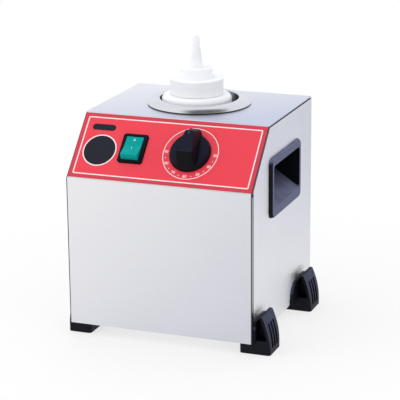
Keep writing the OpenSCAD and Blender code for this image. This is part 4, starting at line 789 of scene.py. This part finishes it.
def floorMaterial(look):
    material, tree, shader, where = newMaterial("paleStudioFloor", {"Roughness": 0.6, "IOR": 1.45})
    fleck = addNode(tree, "ShaderNodeTexNoise", inputs={
        "Vector": where, "Scale": look["flecks"], "Detail": 3.0})
    tone = addNode(tree, "ShaderNodeMixRGB", inputs={
        0: fleck.outputs["Fac"], 1: linear(look["dark"]), 2: linear(look["light"])})
    dress(tree, shader, {"Base Color": tone})
    path = addNode(tree, "ShaderNodeLightPath")
    glow = addNode(tree, "ShaderNodeEmission", inputs={
        "Color": mirroredFloor(tree, where, path), "Strength": 1.0})
    away = addNode(tree, "ShaderNodeVectorMath", {"operation": "LENGTH"}, {0: where})
    fade = addNode(tree, "ShaderNodeMapRange", {"interpolation_type": "SMOOTHSTEP"}, {
        "Value": away.outputs["Value"], "From Min": look["clearFrom"], "From Max": look["clearTo"],
        "To Min": look["glow"], "To Max": 1.0})
    seen = addNode(tree, "ShaderNodeMath", {"operation": "MAXIMUM"}, {
        0: path.outputs["Is Camera Ray"], 1: path.outputs["Is Glossy Ray"]})
    seenAll = addNode(tree, "ShaderNodeMath", {"operation": "MAXIMUM"}, {
        0: seen.outputs[0], 1: path.outputs["Is Transmission Ray"]})
    share = addNode(tree, "ShaderNodeMath", {"operation": "MULTIPLY"}, {
        0: fade.outputs[0], 1: seenAll.outputs[0]})
    blend = addNode(tree, "ShaderNodeMixShader", inputs={
        0: share.outputs[0], 1: shader.outputs[0], 2: glow.outputs[0]})
    tree.links.new(blend.outputs[0], tree.nodes["Material Output"].inputs["Surface"])
    return material


def makeFloor(look):
    side = look["size"] / 2
    mesh = bpy.data.meshes.new("studioFloor")
    corners = [(-side, -side, 0), (side, -side, 0), (side, side, 0), (-side, side, 0)]
    mesh.from_pydata(corners, [], [(0, 1, 2, 3)])
    mesh.materials.append(floorMaterial(look))
    floor = bpy.data.objects.new("studioFloor", mesh)
    bpy.context.collection.objects.link(floor)
    floor.location.z = -look["drop"]


# Surroundings: white to the camera. The steel mirrors a white room that is greyer near the
# ground, faintly blue at the back and dim high over the front right.

room = {"nearGround": 0.90, "groundFrom": -0.1, "groundTo": 0.25,
        "dusk": 0.15, "duskTowards": (0.35, -0.35, 0.87), "duskFrom": 0.70, "duskTo": 0.94,
        "backTint": "#F8FAFF", "backFrom": -0.1, "backTo": 0.7, "softLight": 0.80}


def makeSurroundings(look):
    world = bpy.data.worlds.new("whiteStudio")
    bpy.context.scene.world = world
    world.use_nodes = True
    tree = world.node_tree
    path = addNode(tree, "ShaderNodeLightPath")
    where = addNode(tree, "ShaderNodeTexCoord").outputs["Generated"]
    direction = addNode(tree, "ShaderNodeSeparateXYZ", inputs={"Vector": where})
    band = addNode(tree, "ShaderNodeMapRange", inputs={
        "Value": direction.outputs["Z"], "From Min": look["groundFrom"], "From Max": look["groundTo"],
        "To Min": look["nearGround"], "To Max": 1.0})
    towards = addNode(tree, "ShaderNodeVectorMath", {"operation": "DOT_PRODUCT"}, {
        0: where, 1: look["duskTowards"]})
    dusk = addNode(tree, "ShaderNodeMapRange", {"interpolation_type": "SMOOTHSTEP"}, {
        "Value": towards.outputs["Value"], "From Min": look["duskFrom"], "From Max": look["duskTo"],
        "To Min": 1.0, "To Max": look["dusk"]})
    whole = addNode(tree, "ShaderNodeMath", {"operation": "MULTIPLY"}, {
        0: band.outputs[0], 1: dusk.outputs[0]})
    mirrored = addNode(tree, "ShaderNodeMath", {"operation": "MULTIPLY"}, {
        0: path.outputs["Is Glossy Ray"], 1: whole.outputs[0]})
    diffuse = addNode(tree, "ShaderNodeMath", {"operation": "MULTIPLY"}, {
        0: path.outputs["Is Diffuse Ray"], 1: look["softLight"]})
    lit = addNode(tree, "ShaderNodeMath", {"operation": "MAXIMUM"}, {
        0: mirrored.outputs[0], 1: diffuse.outputs[0]})
    seen = addNode(tree, "ShaderNodeMath", {"operation": "MAXIMUM"}, {
        0: path.outputs["Is Camera Ray"], 1: path.outputs["Is Transmission Ray"]})
    strength = addNode(tree, "ShaderNodeMath", {"operation": "MAXIMUM"}, {
        0: seen.outputs[0], 1: lit.outputs[0]})
    back = addNode(tree, "ShaderNodeMapRange", {"interpolation_type": "SMOOTHSTEP"}, {
        "Value": direction.outputs["Y"], "From Min": look["backFrom"], "From Max": look["backTo"]})
    backShare = addNode(tree, "ShaderNodeMath", {"operation": "MULTIPLY"}, {
        0: back.outputs[0], 1: path.outputs["Is Glossy Ray"]})
    tint = addNode(tree, "ShaderNodeMixRGB", inputs={
        0: backShare.outputs[0], 1: linear("#FFFFFF"), 2: linear(look["backTint"])})
    background = addNode(tree, "ShaderNodeBackground", inputs={
        "Color": tint.outputs["Color"], "Strength": strength.outputs[0]})
    tree.links.new(background.outputs[0], tree.nodes["World Output"].inputs["Surface"])


# Soft lamps, in metres and watts. The steel doesn't mirror the first two, so that it doesn't burn out.

lamps = {
    "overhead": {
        "place": (-0.3, 0.2, 1.4), "size": 1.6, "power": 5.6, "tint": "#FFFFFF", "mirrored": False},
    "leftFront": {
        "place": (-1.3, -1.1, 1.0), "size": 1.4, "power": 6.6, "tint": "#FFFDFA", "mirrored": False},
    "rightFill": {
        "place": (1.4, -0.5, 0.8), "size": 1.2, "power": 3.2, "tint": "#F6F8FF", "mirrored": True},
}
lampTarget = Vector((0, 0, 0.12))


def makeLamp(name, look):
    data = bpy.data.lights.new(name, "AREA")
    data.size = look["size"]
    data.energy = look["power"]
    data.color = linear(look["tint"])[:3]
    lamp = bpy.data.objects.new(name, data)
    bpy.context.collection.objects.link(lamp)
    lamp.location = look["place"]
    lamp.visible_glossy = look["mirrored"]
    lamp.rotation_euler = (lampTarget - lamp.location).to_track_quat("-Z", "Y").to_euler()


makeFloor(floorLook)
makeSurroundings(room)
for name, look in lamps.items():
    makeLamp(name, look)
print("studio ready")

bpy.context.view_layer.update()
